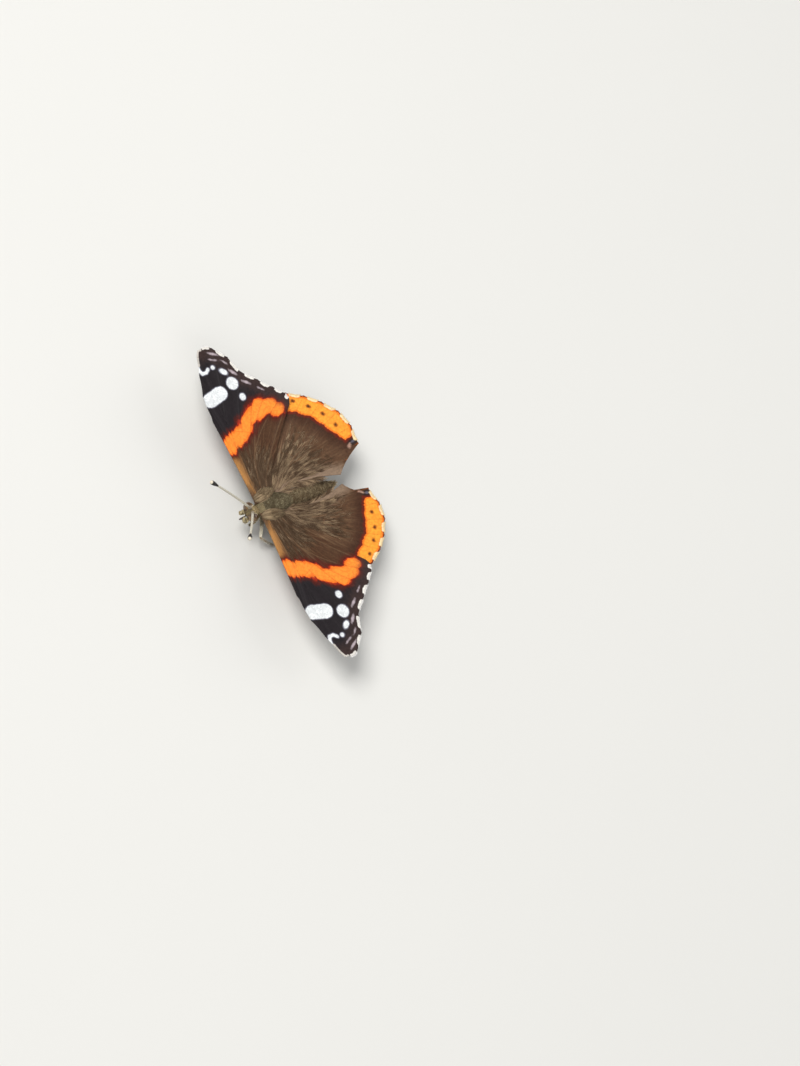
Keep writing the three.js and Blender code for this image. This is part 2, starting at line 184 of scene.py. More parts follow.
def set_surface(tree, shader, colour, heights=None, strength=0.0, depth=0.0, invert=False):
    """The colour of a finish and, where a pattern of heights is given, a relief so many millimetres deep."""
    tree.links.new(colour, shader.inputs["Base Color"])
    if heights is not None:
        relief = node(tree, "ShaderNodeBump",
                      {"Height": heights, "Strength": strength, "Distance": depth * MM}, invert=invert)
        tree.links.new(relief.outputs[0], shader.inputs["Normal"])


def laid_over(tree, value, low, high, below, above, at_low=0.0, at_high=1.0):
    """One colour laid over another, its strength going smoothly with a value from low to high."""
    share = node(tree, "ShaderNodeMapRange",
                 {"Value": value, "From Min": low, "From Max": high, "To Min": at_low, "To Max": at_high},
                 interpolation_type="SMOOTHSTEP").outputs["Result"]
    return node(tree, "ShaderNodeMix", {0: share, 6: below, 7: above}, data_type="RGBA").outputs[2]


def shaded(tree, colour, value, high, at_low, at_high):
    """A colour made darker or paler, from one tone to another as a value goes from zero to high."""
    tone = node(tree, "ShaderNodeMapRange",
                {"Value": value, "From Max": high, "To Min": at_low, "To Max": at_high},
                interpolation_type="SMOOTHSTEP").outputs["Result"]
    grey = node(tree, "ShaderNodeCombineColor", {0: tone, 1: tone, 2: tone}).outputs[0]
    return node(tree, "ShaderNodeMix", {0: 1.0, 6: colour, 7: grey},
                data_type="RGBA", blend_type="MULTIPLY").outputs[2]


# %% [markdown]
# ## Camera
# The picture was taken from in front of the butterfly, a little to its left and steeply from above, with
# the camera rolled so that the head points to the lower left. The camera is set by where it looks, how
# far away it stands and three angles, so that each can be changed on its own. The lens is given by the
# angle of view along the tall side of the picture.

# %% The camera
CAMERA = {
    "target": (14.15, 21.51, 1.5),  # where the middle of the picture meets the plane of the wings
    "distance": 406.4,
    "azimuth": 18.94,  # degrees from straight ahead of the head, towards its left side
    "elevation": 60.71,
    "roll": 47.04,
    "view_angle": 28.0,  # degrees along the tall side
}


def look_from(settings):
    """World matrix of a camera, from its target, distance and angles."""
    azimuth, elevation, roll = (math.radians(settings[k]) for k in ("azimuth", "elevation", "roll"))
    back = Vector((
        math.sin(azimuth) * math.cos(elevation),
        -math.cos(azimuth) * math.cos(elevation),
        math.sin(elevation),
    ))
    level = Vector((0, 0, 1)).cross(back).normalized()
    upright = back.cross(level)
    right = level * math.cos(roll) + upright * math.sin(roll)
    up = back.cross(right)
    turn = Matrix((right, up, back)).transposed().to_4x4()
    place = Vector(placed(settings["target"])) + back * settings["distance"] * MM
    return Matrix.Translation(place) @ turn


camera_data = bpy.data.cameras.new("camera")
camera_data.sensor_fit = "VERTICAL"
camera_data.angle = math.radians(CAMERA["view_angle"])
camera_data.clip_start = 0.01
camera = bpy.data.objects.new("camera", camera_data)
camera.matrix_world = look_from(CAMERA)
bpy.context.scene.collection.objects.link(camera)
bpy.context.scene.camera = camera
bpy.context.scene.view_settings.view_transform = "Standard"  # keeps the orange as strong as it is set
print("camera at", [round(c, 4) for c in camera.matrix_world.translation])

# %% [markdown]
# ## Floor and light
# A plain pale floor and three large soft lamps, as on a small studio table. A large lamp close by gives
# soft shadows under the wings, which show how thin they are and how far they stand above the floor.

# %% The floor
FLOOR_SIZE = 1.6  # metres
FLOOR_MOTTLE = 111.1  # millimetres across the paler patches of the card


def paper_floor():
    """Matt card: pale, hardly shiny, with the faintest mottling."""
    material, tree, shader = new_finish("matt_card", 0.85)
    place = node(tree, "ShaderNodeTexCoord").outputs["Object"]
    cloud = node(tree, "ShaderNodeTexNoise",
                 {"Vector": place, "Scale": 1 / (FLOOR_MOTTLE * MM), "Detail": 4.0}).outputs["Fac"]
    tone = node(tree, "ShaderNodeMapRange", {"Value": cloud, "To Min": 0.97, "To Max": 1.0}).outputs["Result"]
    card = node(tree, "ShaderNodeMix", {0: tone, 6: linear("#000000"), 7: linear("#dedcd6")},
                data_type="RGBA")
    set_surface(tree, shader, card.outputs[2])
    return material


def make_floor():
    half = FLOOR_SIZE / 2
    mesh = bpy.data.meshes.new("floor")
    corners = [(-half, -half, 0), (half, -half, 0), (half, half, 0), (-half, half, 0)]
    mesh.from_pydata(corners, [], [(0, 1, 2, 3)])
    mesh.materials.append(paper_floor())
    floor = bpy.data.objects.new("floor", mesh)
    bpy.context.scene.collection.objects.link(floor)


make_floor()
print("floor:", FLOOR_SIZE, "metres wide")

# %% The lamps
LAMPS = {  # name: (place, width in metres, watts)
    "key": ((-0.35, -0.25, 0.75), 0.45, 6.4),
    "fill": ((0.6, -0.3, 0.5), 0.7, 2.0),
    "back": ((0.1, 0.7, 0.45), 0.5, 1.8),
}
ROOM = {"colour": "#e8ecf2", "strength": 0.36}  # soft light from all round


def add_lamp(name, place, width, watts):
    data = bpy.data.lights.new(name, "AREA")
    data.size = width
    data.energy = watts
    lamp = bpy.data.objects.new(name, data)
    lamp.location = place
    lamp.rotation_euler = (-Vector(place)).to_track_quat("-Z", "Y").to_euler()
    bpy.context.scene.collection.objects.link(lamp)


for lamp_name, (lamp_place, lamp_width, lamp_watts) in LAMPS.items():
    add_lamp(lamp_name, lamp_place, lamp_width, lamp_watts)
world = bpy.data.worlds.new("studio")
world.use_nodes = True
world.node_tree.nodes["Background"].inputs["Color"].default_value = linear(ROOM["colour"])
world.node_tree.nodes["Background"].inputs["Strength"].default_value = ROOM["strength"]
bpy.context.scene.world = world
print("lamps:", list(LAMPS))

# %% [markdown]
# ## Wing veins
# A butterfly's wing is a thin double sheet stretched over a fan of hollow veins, and every red admiral
# has the same veins. So the wing is drawn as the insect grows it: each vein is one curve with a single
# bend, given along and across the line from shoulder to wing tip. Branches start part of the way along a
# parent vein, and the three median veins start on the cross vein that closes the cell. The solids use the
# same curves, so the outlines agree.

# %% The veins
HINGE = {"fore": (2.6, -2.6, 1.45), "hind": (2.5, 0.8, 0.35)}
POSE = {  # sweep in degrees, size, and lean behind the forewing in degrees
    ("fore", "left"): (5.5, 1.0, 0.0),
    ("fore", "right"): (5.5, 1.0, 0.0),
    ("hind", "left"): (18.0, 0.985, -6.0),
    ("hind", "right"): (13.5, 1.02, 6.0),
}
# Bend and end of the hindwing's inner edge, outwards and backwards from the middle of the thorax
INNER_EDGE = {"left": ((2.95, 9.5), (0.6, 16.4)), "right": ((2.4, 9.5), (0.5, 15.6))}
CELL_END = 0.45  # where the cross vein closes the cell, as a fraction of the way out


def bezier(start, bend, end):
    """A curve with one bend, as a function of the fraction of the way along."""
    start, bend, end = (np.array(point, float) for point in (start, bend, end))

    def at(v):
        v = np.asarray(v, float)[..., None]
        return (1 - v) ** 2 * start + 2 * v * (1 - v) * bend + v ** 2 * end
    return at


def branch(parent, start, bend, end):
    """A vein that follows its parent and then takes its own bend to the margin."""
    own = bezier(parent(start), bend, end)

    def at(v):
        v = np.asarray(v, float)
        beyond = np.clip((v - start) / (1 - start), 0, 1)
        return np.where(v[..., None] < start, parent(v), own(beyond))
    return at


def median(upper, lower, across, bend, end):
    """A vein that starts on the cross vein, between the stems above and below the cell."""
    own = bezier(lerp(upper(CELL_END), lower(CELL_END), across), bend, end)

    def at(v):
        v = np.asarray(v, float)
        inside = lerp(upper(v), lower(v), across)
        beyond = np.clip((v - CELL_END) / (1 - CELL_END), 0, 1)
        return np.where(v[..., None] < CELL_END, inside, own(beyond))
    return at


def polar(radius, degrees):
    return (radius * math.cos(math.radians(degrees)), radius * math.sin(math.radians(degrees)))


# %% [markdown]
# ## Veins of the forewing and the hindwing
# Each list runs from the leading edge back, and gives a vein's curve and its kind. A rim or a vein is a
# ridge all along, a median vein only beyond the cross vein, and an edge is a bare border. The two
# forewings share one set of curves. The margin of each hindwing is turned and sized for its side, while
# the inner edge stays beside the abdomen.

# %% The two sets of veins


def forewing_veins(side):
    """Each vein of a forewing, the same on both sides: its curve and its kind."""
    radius = bezier((0, -0.6), (14, 1.0), (30.3, 0.45))
    cubitus = bezier((0.1, -1.5), (15, -3.2), (19.7, -11.2))
    return [
        (bezier((0, 0.3), (7.5, 1.6), (15.5, 3.0)), "rim"),
        (bezier((0, -0.1), (8, 1.0), (17.6, 3.1)), "vein"),
        (branch(radius, 0.33, (15, 1.9), (20.8, 3.1)), "vein"),
        (branch(radius, CELL_END, (19.5, 1.6), (24.6, 2.45)), "vein"),
        (branch(radius, 0.62, (24.3, 1.1), (28.3, 1.6)), "vein"),
        (radius, "vein"),
        (branch(radius, 0.52, (22, -1.3), (29.7, -1.9)), "vein"),
        (median(radius, cubitus, 0.15, (20.5, -1.0), (27.4, -4.35)), "median"),
        (median(radius, cubitus, 0.5, (19, -3.0), (23.9, -6.0)), "median"),
        (median(radius, cubitus, 0.85, (17.5, -5.3), (21.7, -8.6)), "median"),
        (cubitus, "vein"),
        (branch(cubitus, 0.28, (12.8, -5.6), (17.9, -13.1)), "vein"),
        (bezier((0.3, -2.3), (8.5, -6.2), (16.6, -13.6)), "vein"),
        (bezier((0.4, -3.0), (8.5, -7.8), (15.4, -13.2)), "edge"),
    ]


def hindwing_veins(side):
    """The last edge lies along the abdomen, whatever the sweep."""
    sweep, size, _ = POSE["hind", side]

    def margin(radius, degrees):
        return polar(radius * size, degrees)

    def beside_abdomen(x, y):
        outward, back = x - HINGE["hind"][0], y - HINGE["hind"][1]
        return polar(math.hypot(outward, back), sweep - math.degrees(math.atan2(back, outward)))

    radius = bezier((0.1, 0.1), (8.5, -0.6), margin(19.3, -12))
    cubitus = bezier((0.1, -0.8), (6.5, -6.0), margin(21.9, -50.5))
    return [
        (bezier((0.1, 0.7), (7, 2.0), margin(16.4, -3)), "rim"),
        (branch(radius, 0.2, (10, 0.8), margin(17.9, -6.5)), "vein"),
        (radius, "vein"),
        (median(radius, cubitus, 0.15, (14, -4.6), margin(20.2, -21.5)), "median"),
        (median(radius, cubitus, 0.5, (12.6, -6.9), margin(20.9, -31.5)), "median"),
        (median(radius, cubitus, 0.85, (11.5, -8.6), margin(21.5, -41)), "median"),
        (cubitus, "vein"),
        (branch(cubitus, 0.3, (7.0, -10.0), margin(21.7, -60.5)), "vein"),
        (bezier((0.1, -1.3), (3.6, -9.0), margin(20.8, -70)), "vein"),
        (bezier((0.1, -1.8), beside_abdomen(3.6, 10.0), beside_abdomen(2.7, 18.2)), "vein"),
        (bezier((0.1, -2.3), *[beside_abdomen(*place) for place in INNER_EDGE[side]]), "edge"),
    ]


# For each wing: its veins, the stems that the cross vein joins, its length, and, counted from the leading
# edge, the veins at both ends of its outer margin and at its tip. No vein lies near the tip of the hindwing,
# so its number is one that is never reached.
WINGS = {
    "fore": {"veins": forewing_veins, "cross": (5, 10), "reach": 29.0, "margin": (5, 12), "tip": 5},
    "hind": {"veins": hindwing_veins, "cross": (2, 6), "reach": 21.0, "margin": (2, 9), "tip": -9},
}

# %% [markdown]
# ## The wing sheet
# A plain grid would cut across the veins and make them look beaded. Here the grid follows them: one
# column of points runs along each vein, one lies close on either side, and the rest share out the
# membrane. So a raised vein is a clean ridge, and the distance from any point to the nearest vein is
# known. Where a branch still lies on its parent, the columns fall together and are joined into one.

# %% Sizes of the grid
ROWS = 150
COLUMN_STEP = 0.3  # widest spacing of columns at the margin
VEIN_HALF = 0.17
VEIN_LIMIT = 0.3  # largest share of a space that half a vein takes where the space is narrow
NO_RIDGE = 2.0  # added to the distance from a vein where it doesn't stand up
PLEATED_SPACE = 2.0  # narrower spaces are pleated less
MARGIN_POWER = 8  # how quickly the shaping of the margin fades inwards
SCALLOP = 0.2  # how far the margin draws in between two veins
TIP = {"draw_in": 0.35, "swell": 0.4}  # the forewing tip is rounded: drawn in, with a fuller margin beside it
FRINGE_SEAT = 0.25  # the membrane ends this far inside the outline, and the fringe fills it
BAR_SHARE = 0.6  # share of each space between veins that its pale bar in the fringe takes


def smooth_step(low, high, values):
    t = np.clip((values - low) / (high - low), 0, 1)
    return t * t * (3 - 2 * t)


def hump(distance, half):
    """Height of a ridge at a distance from its crest: 1 on it, 0 at half and beyond."""
    return np.maximum(0, 1 - (distance / half) ** 2)


def drawn_in(order, share, tip):
    """How far a place on the margin lies inside the straight line from vein end to vein end."""
    from_tip = np.abs(order - tip)
    if from_tip < 1:
        return TIP["draw_in"] * (1 - from_tip) ** 2 - TIP["swell"] * np.sin(np.pi * share)
    return SCALLOP * np.sin(np.pi * share)


# %% Grid that follows the veins


def vein_grid(which, side):
    """Places in the plane of the wing, row by row outwards, with what each point knows about the veins."""
    wing = WINGS[which]
    veins = wing["veins"](side)
    cross_from, cross_to = wing["cross"]
    nudge = VEIN_HALF / wing["reach"]
    rows = np.unique(np.concatenate([np.linspace(0, 1, ROWS), CELL_END + np.array([-nudge, 0, nudge])]))
    places = [curve(rows) for curve, _ in veins]
    stands = {"vein": np.ones_like(rows), "rim": np.ones_like(rows), "edge": np.zeros_like(rows),
              "median": smooth_step(CELL_END - 0.01, CELL_END + 0.01, rows)}
    from_cross = np.abs(rows - CELL_END) * wing["reach"]
    columns = {"place": [], "order": [], "bars": [], "vein": [], "ridge": [], "pleat": []}
    margin_from, margin_to = wing["margin"]
    for k in range(len(veins) - 1):
        here, after = places[k], places[k + 1]
        here_stands, after_stands = stands[veins[k][1]], stands[veins[k + 1][1]]
        gap = np.linalg.norm(after - here, axis=1)
        flank = np.minimum(VEIN_HALF / np.maximum(gap, 1e-6), VEIN_LIMIT)
        middles = max(2, round(gap.max() / COLUMN_STEP))
        between = [lerp(flank, 1 - flank, m / (middles + 1)) for m in range(middles + 2)]
        shares = [np.zeros_like(rows)] + between
        if k == len(veins) - 2:
            shares.append(np.ones_like(rows))
        for share in shares:
            spot = lerp(here, after, share[:, None])
            past_ends = np.minimum(k + share - margin_from, margin_to - k - share)
            seat = FRINGE_SEAT * np.clip(past_ends * 2 + 1, 0, 1)
            inwards = (drawn_in(k + share[-1], share, wing["tip"]) + seat) * rows ** MARGIN_POWER
            spot = spot * (1 - inwards / np.maximum(np.linalg.norm(spot, axis=1), 1))[:, None]
            near, far = share * gap, (1 - share) * gap
            distance = np.minimum(near + NO_RIDGE * (1 - here_stands), far + NO_RIDGE * (1 - after_stands))
            ridge = np.maximum(here_stands * hump(near, VEIN_HALF), after_stands * hump(far, VEIN_HALF))
            if cross_from <= k < cross_to:
                distance = np.minimum(distance, from_cross)
                ridge = np.maximum(ridge, hump(from_cross, VEIN_HALF))
            columns["place"].append(spot)
            columns["order"].append(k + share)
            columns["bars"].append((np.abs(share - 0.5) - BAR_SHARE / 2) * gap)
            depth = np.minimum(gap, PLEATED_SPACE) / PLEATED_SPACE
            columns["pleat"].append((-1) ** k * np.sin(np.pi * share) * depth)
            columns["vein"].append(distance)
            columns["ridge"].append(ridge)
    grid = {name: np.stack(values, axis=1) for name, values in columns.items()}
    grid["rows"] = np.repeat(rows[:, None], grid["order"].shape[1], axis=1)
    return grid


print("forewing grid:", vein_grid("fore", "left")["order"].shape, "rows and columns")

# %% [markdown]
# ## From the flat plan to the pose
# Basking wings are swept a little back, slope up from the shoulder and level out to the tip. The
# hindwings each lean differently where they leave the shelter of the forewing. Between the veins the
# membrane is gently pleated, up in one space and down in the next, which stiffens the real wing too.

# %% Wing surface in space
WING_RISE = 6.5  # degrees of upward slope at the shoulder
WING_ARCH = 0.002  # fall per square millimetre outwards, which levels the tip
FORE_REAR_EDGE = {"at": (2.6, 0.4), "normal": (-0.635, 0.772)}
ROOT_BLEND = 0.12  # fraction of the wing that is fitted to the side of the body
ROOT_SUNK = 0.7  # how deep a wing root sits under the coat of the thorax
ROOT_OUT = 1.0  # no part of a root lies nearer to the middle of the body than this
NESTLE = {"fore": -0.15, "hind": 0.2}  # the thin sheets lie at the near faces of their solids
PLEAT = {"height": 0.11, "from": 0.1, "full": 0.4}  # where it starts and is full, as fractions of the way out
FLUTTER = {"height": 0.1, "for_each_space": 2.3, "power": 5}  # gentle waves along the margin, in radians


def thorax_at(y):
    """Half width and half height of the thorax solid."""
    along = np.clip((y - THORAX["front"]) / (THORAX["back"] - THORAX["front"]), 0, 1)
    swell = np.sin(np.pi * along) ** 0.75
    end = lerp(THORAX["neck"], THORAX["waist"], along)
    return end + THORAX["widen"] * swell, end + THORAX["deepen"] * swell


def wing_height(hinge, lean, x, y):
    outward = x - HINGE["fore"][0]
    arch = math.tan(math.radians(WING_RISE)) * outward - WING_ARCH * outward ** 2
    (edge_x, edge_y), (normal_x, normal_y) = FORE_REAR_EDGE["at"], FORE_REAR_EDGE["normal"]
    behind = normal_x * (x - edge_x) + normal_y * (y - edge_y)
    return hinge[2] + arch + math.tan(math.radians(lean)) * np.maximum(0, behind)


def wing_in_space(which, side, place, rows):
    """Points in the plane of the wing to points about the middle of the thorax."""
    sweep, _, lean = POSE[which, side]
    hinge = HINGE[which]
    cos, sin = math.cos(math.radians(sweep)), math.sin(math.radians(sweep))
    x = hinge[0] + place[..., 0] * cos + place[..., 1] * sin
    y = hinge[1] + place[..., 0] * sin - place[..., 1] * cos
    half_width, half_height = thorax_at(y)
    beside = half_width * np.sqrt(np.maximum(0, 1 - (hinge[2] / half_height) ** 2))
    rooted = np.clip(1 - rows / ROOT_BLEND, 0, 1)
    x = lerp(x, np.maximum(ROOT_OUT, beside - ROOT_SUNK), rooted)
    z = wing_height(hinge, lean, x, y) + NESTLE[which]
    return np.stack([x if side == "left" else -x, y, z], axis=-1)


# %% [markdown]
# ## Distances that draw the pattern
# A wing pattern is a mosaic of flat scales, each of one colour, so every mark has a firm but ragged edge.
# To keep the edges sharp at any size, the marks aren't painted in pixels. Each point of the wing carries
# its distance in millimetres from the edge of each mark, less than zero inside it, and the material turns
# that into colour and frays the edge. The marks are ovals, strokes and outlines in the plane of the wing.

# %% Distance helpers


def segment_distance(points, path):
    """Distance from each point to a chain of straight lines."""
    path = np.asarray(path, float)
    nearest = np.full(points.shape[:-1], np.inf)
    for a, b in zip(path[:-1], path[1:]):
        way = b - a
        share = np.clip(((points - a) @ way) / max(way @ way, 1e-12), 0, 1)
        nearest = np.minimum(nearest, np.linalg.norm(points - a - share[..., None] * way, axis=-1))
    return nearest


def outline(points, corners):
    """Signed distance to a closed outline, less than zero inside."""
    corners = np.asarray(corners, float)
    inside = np.zeros(points.shape[:-1], bool)
    x, y = points[..., 0], points[..., 1]
    for (ax, ay), (bx, by) in zip(corners, np.roll(corners, -1, axis=0)):
        crosses = (ay > y) != (by > y)
        at = ax + (y - ay) * (bx - ax) / (by - ay if by != ay else 1e-9)
        inside ^= crosses & (x < at)
    distance = segment_distance(points, np.vstack([corners, corners[:1]]))
    return np.where(inside, -distance, distance)


def oval(points, centre, length, width, turn=0.0):
    """Signed distance to an oval, its length turned so many degrees from outwards."""
    cos, sin = math.cos(math.radians(turn)), math.sin(math.radians(turn))
    away = points - np.array(centre, float)
    along = (away[..., 0] * cos + away[..., 1] * sin) / (length / 2)
    across = (away[..., 1] * cos - away[..., 0] * sin) / (width / 2)
    return (np.hypot(along, across) - 1) * min(length, width) / 2


def together(*marks):
    return np.minimum.reduce(marks)


# %% [markdown]
# ## Marks of the forewing
# The forewing of a red admiral is brown at the base and black outside, with a scarlet-orange band
# slanting across it. The black tip carries a white bar at the leading edge, a curved row of white spots,
# small blue-grey dashes before the margin and white bars in the fringe. The places were measured in the
# plane of the wing, along and across the line from shoulder to tip.

# %% Forewing marks
BAND_OUTER = [(11.1, 2.9), (12.0, 1.3), (12.8, 0.0), (13.4, -1.8), (14.5, -2.2), (15.4, -3.7), (16.6, -5.0),
              (17.8, -6.3), (17.6, -8.3), (16.9, -10.2), (15.9, -11.5), (14.9, -11.9)]
BAND_INNER = [(13.9, -11.4), (13.8, -10.0), (14.5, -8.0), (13.9, -6.3), (13.2, -4.6), (11.7, -3.9),
              (11.0, -2.7), (10.1, -1.9), (9.2, 0.0), (8.4, 1.2), (7.9, 2.4)]
PAST_THE_WING = [(7.0, 6.0), (40.0, 6.0), (40.0, -30.0), (14.5, -30.0)]  # closes the dark field off the wing
WHITE_BAR = {"path": [(19.5, 2.0), (19.9, 1.0), (20.4, -0.3)], "half": 1.4}
WHITE_SPOTS = [  # centre, length, width, turn
    ((21.9, -3.4), 2.5, 2.3, 0), ((24.4, -2.45), 1.7, 1.05, 50), ((25.75, -0.75), 0.8, 0.75, 0),
    ((18.8, -4.4), 1.4, 1.15, 0),
]
TIP_HOOK = {"path": [(27.1, 2.2), (25.7, 2.1), (24.9, 1.7), (25.0, 0.9), (25.6, 0.3)], "half": 0.3}
BLUE_DASHES = [((28.3, -1.7), 1.5, 0.3, 62), ((27.2, -1.2), 1.0, 0.2, 66), ((26.2, -3.3), 0.9, 0.25, 45),
               ((24.0, -4.35), 1.4, 0.45, 42), ((21.45, -6.1), 1.4, 0.4, 50), ((19.6, -8.6), 0.9, 0.2, 55)]
LOBES = {"fore": 0.5, "hind": 0.25}  # how far a band bulges out between the veins, in millimetres
LOBE_LEVEL = 0.6  # share of the bulge that lies inside the drawn outline
COSTA_RIM = {"from": 26.4, "width": 0.3}  # a thin pale line runs from the hook round the tip


def forewing_marks(place, grid):
    """The fields that colour a forewing, in millimetres."""
    lobes = LOBES["fore"] * (np.abs(grid["pleat"]) - LOBE_LEVEL)
    band = outline(place, BAND_OUTER + BAND_INNER) - lobes
    beyond = outline(place, BAND_INNER + PAST_THE_WING) - lobes
    strokes = [segment_distance(place, mark["path"]) - mark["half"] for mark in (WHITE_BAR, TIP_HOOK)]
    white = together(*strokes, *[oval(place, *spot) for spot in WHITE_SPOTS])
    blue = together(*[oval(place, *dash) for dash in BLUE_DASHES])
    return {"band": band, "beyond": beyond, "white": white, "blue": blue}


# %% [markdown]
# ## Marks of the hindwing
# The hindwing is brown, with an orange band along its outer margin. A row of four small black dots lies
# in the band, one between each pair of veins, and a black patch dusted with blue sits at the inner
# corner. Here the marks are given by distance from the hinge and angle, because the margin is nearly part
# of a circle.

# %% Hindwing marks
BAND_ANGLES = [-72, -64, -60, -54, -50, -43, -34, -26.5, -20]  # degrees
BAND_STARTS = [19.6, 18.8, 18.0, 17.6, 17.4, 17.6, 17.0, 16.7, 16.6]  # from hinge to the band's inner edge
BAND_ENDS = {"front": -19.0, "corner": -64.5}
BAND_HEM = 0.25  # brown left between the band and the margin
DOTS = [(18.8, -26.5), (19.0, -36.0), (19.3, -45.0), (19.1, -54.5)]
DOT_SIZE = (0.62, 0.72)
CORNER = {  # place, length, width and turn
    "patch": ((19.7, -67.5), 1.9, 1.3, -67),
    "blue": ((19.8, -67.5), 0.9, 0.5, -67),
    "blush": ((18.6, -69.0), 1.1, 0.5, -30),
}


def polar_oval(points, at, length, width, turn):
    """Signed distance to an oval whose place is given as distance and angle."""
    return oval(points, polar(*at), length, width, turn)


def hindwing_marks(place, grid):
    radius = np.hypot(place[..., 0], place[..., 1])
    degrees = np.degrees(np.arctan2(place[..., 1], place[..., 0]))
    starts = np.interp(degrees, BAND_ANGLES, BAND_STARTS)
    front = np.radians(degrees - BAND_ENDS["front"]) * radius
    corner = np.radians(BAND_ENDS["corner"] - degrees) * radius
    starts = starts - LOBES["hind"] * (np.abs(grid["pleat"]) - LOBE_LEVEL)
    band = np.maximum.reduce([starts - radius, front, corner, BAND_HEM - grid["edge"]])
    dots = together(*[polar_oval(place, dot, *DOT_SIZE, dot[1]) for dot in DOTS])
    patch, blue, blush = (polar_oval(place, *CORNER[mark]) for mark in ("patch", "blue", "blush"))
    return {"band": band, "white": dots, "beyond": patch, "blue": blue, "blush": blush}


# %% [markdown]
# ## The finish of the wings
# Wing scales are flat plates of chitin, about 0.2 mm long and half as wide, that lie in rows like roof
# tiles. They are matt with a faint silky sheen, and each has a single colour, so a close look shows fine
# grain. The grain here is a cell pattern stretched along the veins and drawn coarser than life, so that
# it still shows. One noise frays the edge of every mark, in streaks that run outwards as the rows do.

# %% Patterns along the lie of the scales
SCALE = {"length": 0.34, "width": 0.2}  # millimetres, drawn nearly twice as large as the real ones
SCALE_TONES = (0.84, 1.1)  # darkest and palest single scale
SCALE_RELIEF = {"depth": 0.02, "strength": 0.35}
SCALE_ROUGHNESS = 0.6
SILKY = {"Specular_IOR_Level": 0.14, "Sheen_Weight": 0.02, "Sheen_Roughness": 0.5}
CHITIN_IOR = 1.56
FRAY = {"length": 0.9, "width": 0.3}
STREAK = {"length": 4.0, "width": 0.35}
STREAK_EDGE = (0.5, 0.62)  # the noise above this becomes a pale streak
# The streaks weaken between two distances from the hinge
STREAKED = {"From Min": 3.0, "From Max": 15.0, "To Min": 1.0, "To Max": 0.12}


def stretched_along(tree, lie, length, width):
    """The lie of the scales in units of one grain, so long and so wide in millimetres."""
    return node(tree, "ShaderNodeVectorMath", {0: lie, 1: (1 / length, 1 / width, 1)},
                operation="MULTIPLY").outputs[0]


def noise_along(tree, lie, length, width, detail=2.0, w=0.0):
    """Noise from 0 to 1 with such a grain. Another w gives another pattern."""
    stretched = stretched_along(tree, lie, length, width)
    return node(tree, "ShaderNodeTexNoise", {"Vector": stretched, "W": w, "Scale": 1.0, "Detail": detail},
                noise_dimensions="4D").outputs["Fac"]


# %% [markdown]
# ## From the fields to colour
# The base colour comes first, with pale streaks near the body. Mottling follows, then the marks in order,
# each laid where its distance field is less than zero. At the end every scale is made a little paler or
# darker than its neighbours, and a shallow relief lets the light catch the edges of the scales.

# %% The scale finish
STREAK_SEED = 3.0  # the w of each pattern's noise, so that no two are alike
MOTTLE_SEED = 7.0


def scale_finish(name, base, streaks, layers, mottle=()):
    """Rows of flat scales: a base colour, pale streaks near the body, mottling, then the marks in order."""
    material, tree, shader = new_finish(name, SCALE_ROUGHNESS, CHITIN_IOR, **SILKY)

    def field(field_name, output="Fac"):
        return node(tree, "ShaderNodeAttribute", attribute_name=field_name).outputs[output]

    lie = field("lie", "Vector")
    fray = node(tree, "ShaderNodeMath",
                {0: noise_along(tree, lie, **FRAY), 1: 0.5}, operation="SUBTRACT").outputs[0]
    near_body = node(tree, "ShaderNodeMapRange",
                     {"Value": field("root"), **STREAKED}, interpolation_type="SMOOTHSTEP").outputs["Result"]
    streak = noise_along(tree, lie, **STREAK, w=STREAK_SEED)
    colour = laid_over(tree, streak, *STREAK_EDGE, linear(base), linear(streaks), at_high=near_body)
    for k, (size, low, high, patch) in enumerate(mottle):
        spread = noise_along(tree, lie, size, size, detail=3.0, w=MOTTLE_SEED + k)
        colour = laid_over(tree, spread, low, high, colour, linear(patch))
    for mark, at, soft, ragged, paint, strength in layers:
        frayed = node(tree, "ShaderNodeMath", {0: fray, 1: ragged * 2, 2: field(mark)},
                      operation="MULTIPLY_ADD").outputs[0]
        colour = laid_over(tree, frayed, at - soft, at + soft, colour, linear(paint), strength, 0.0)
    tiles = stretched_along(tree, lie, **SCALE)
    cells = node(tree, "ShaderNodeTexVoronoi", {"Vector": tiles, "Scale": 1.0, "Randomness": 0.7})
    shades = node(tree, "ShaderNodeSeparateColor", {0: cells.outputs["Color"]})
    colour = shaded(tree, colour, shades.outputs[0], 1.0, *SCALE_TONES)
    set_surface(tree, shader, colour, cells.outputs["Distance"], **SCALE_RELIEF, invert=True)
    return material


# %% [markdown]
# ## Colours of each wing face
# Each list paints one face from the bottom layer up: the field to read, where its edge lies in
# millimetres, how soft and how ragged the edge is, the colour and its strength. The orange band has
# several layers: dark red at its border, orange inside, and a little lighter in the middle. The fringe is
# painted on the rim of the sheet as well, under its own scales.

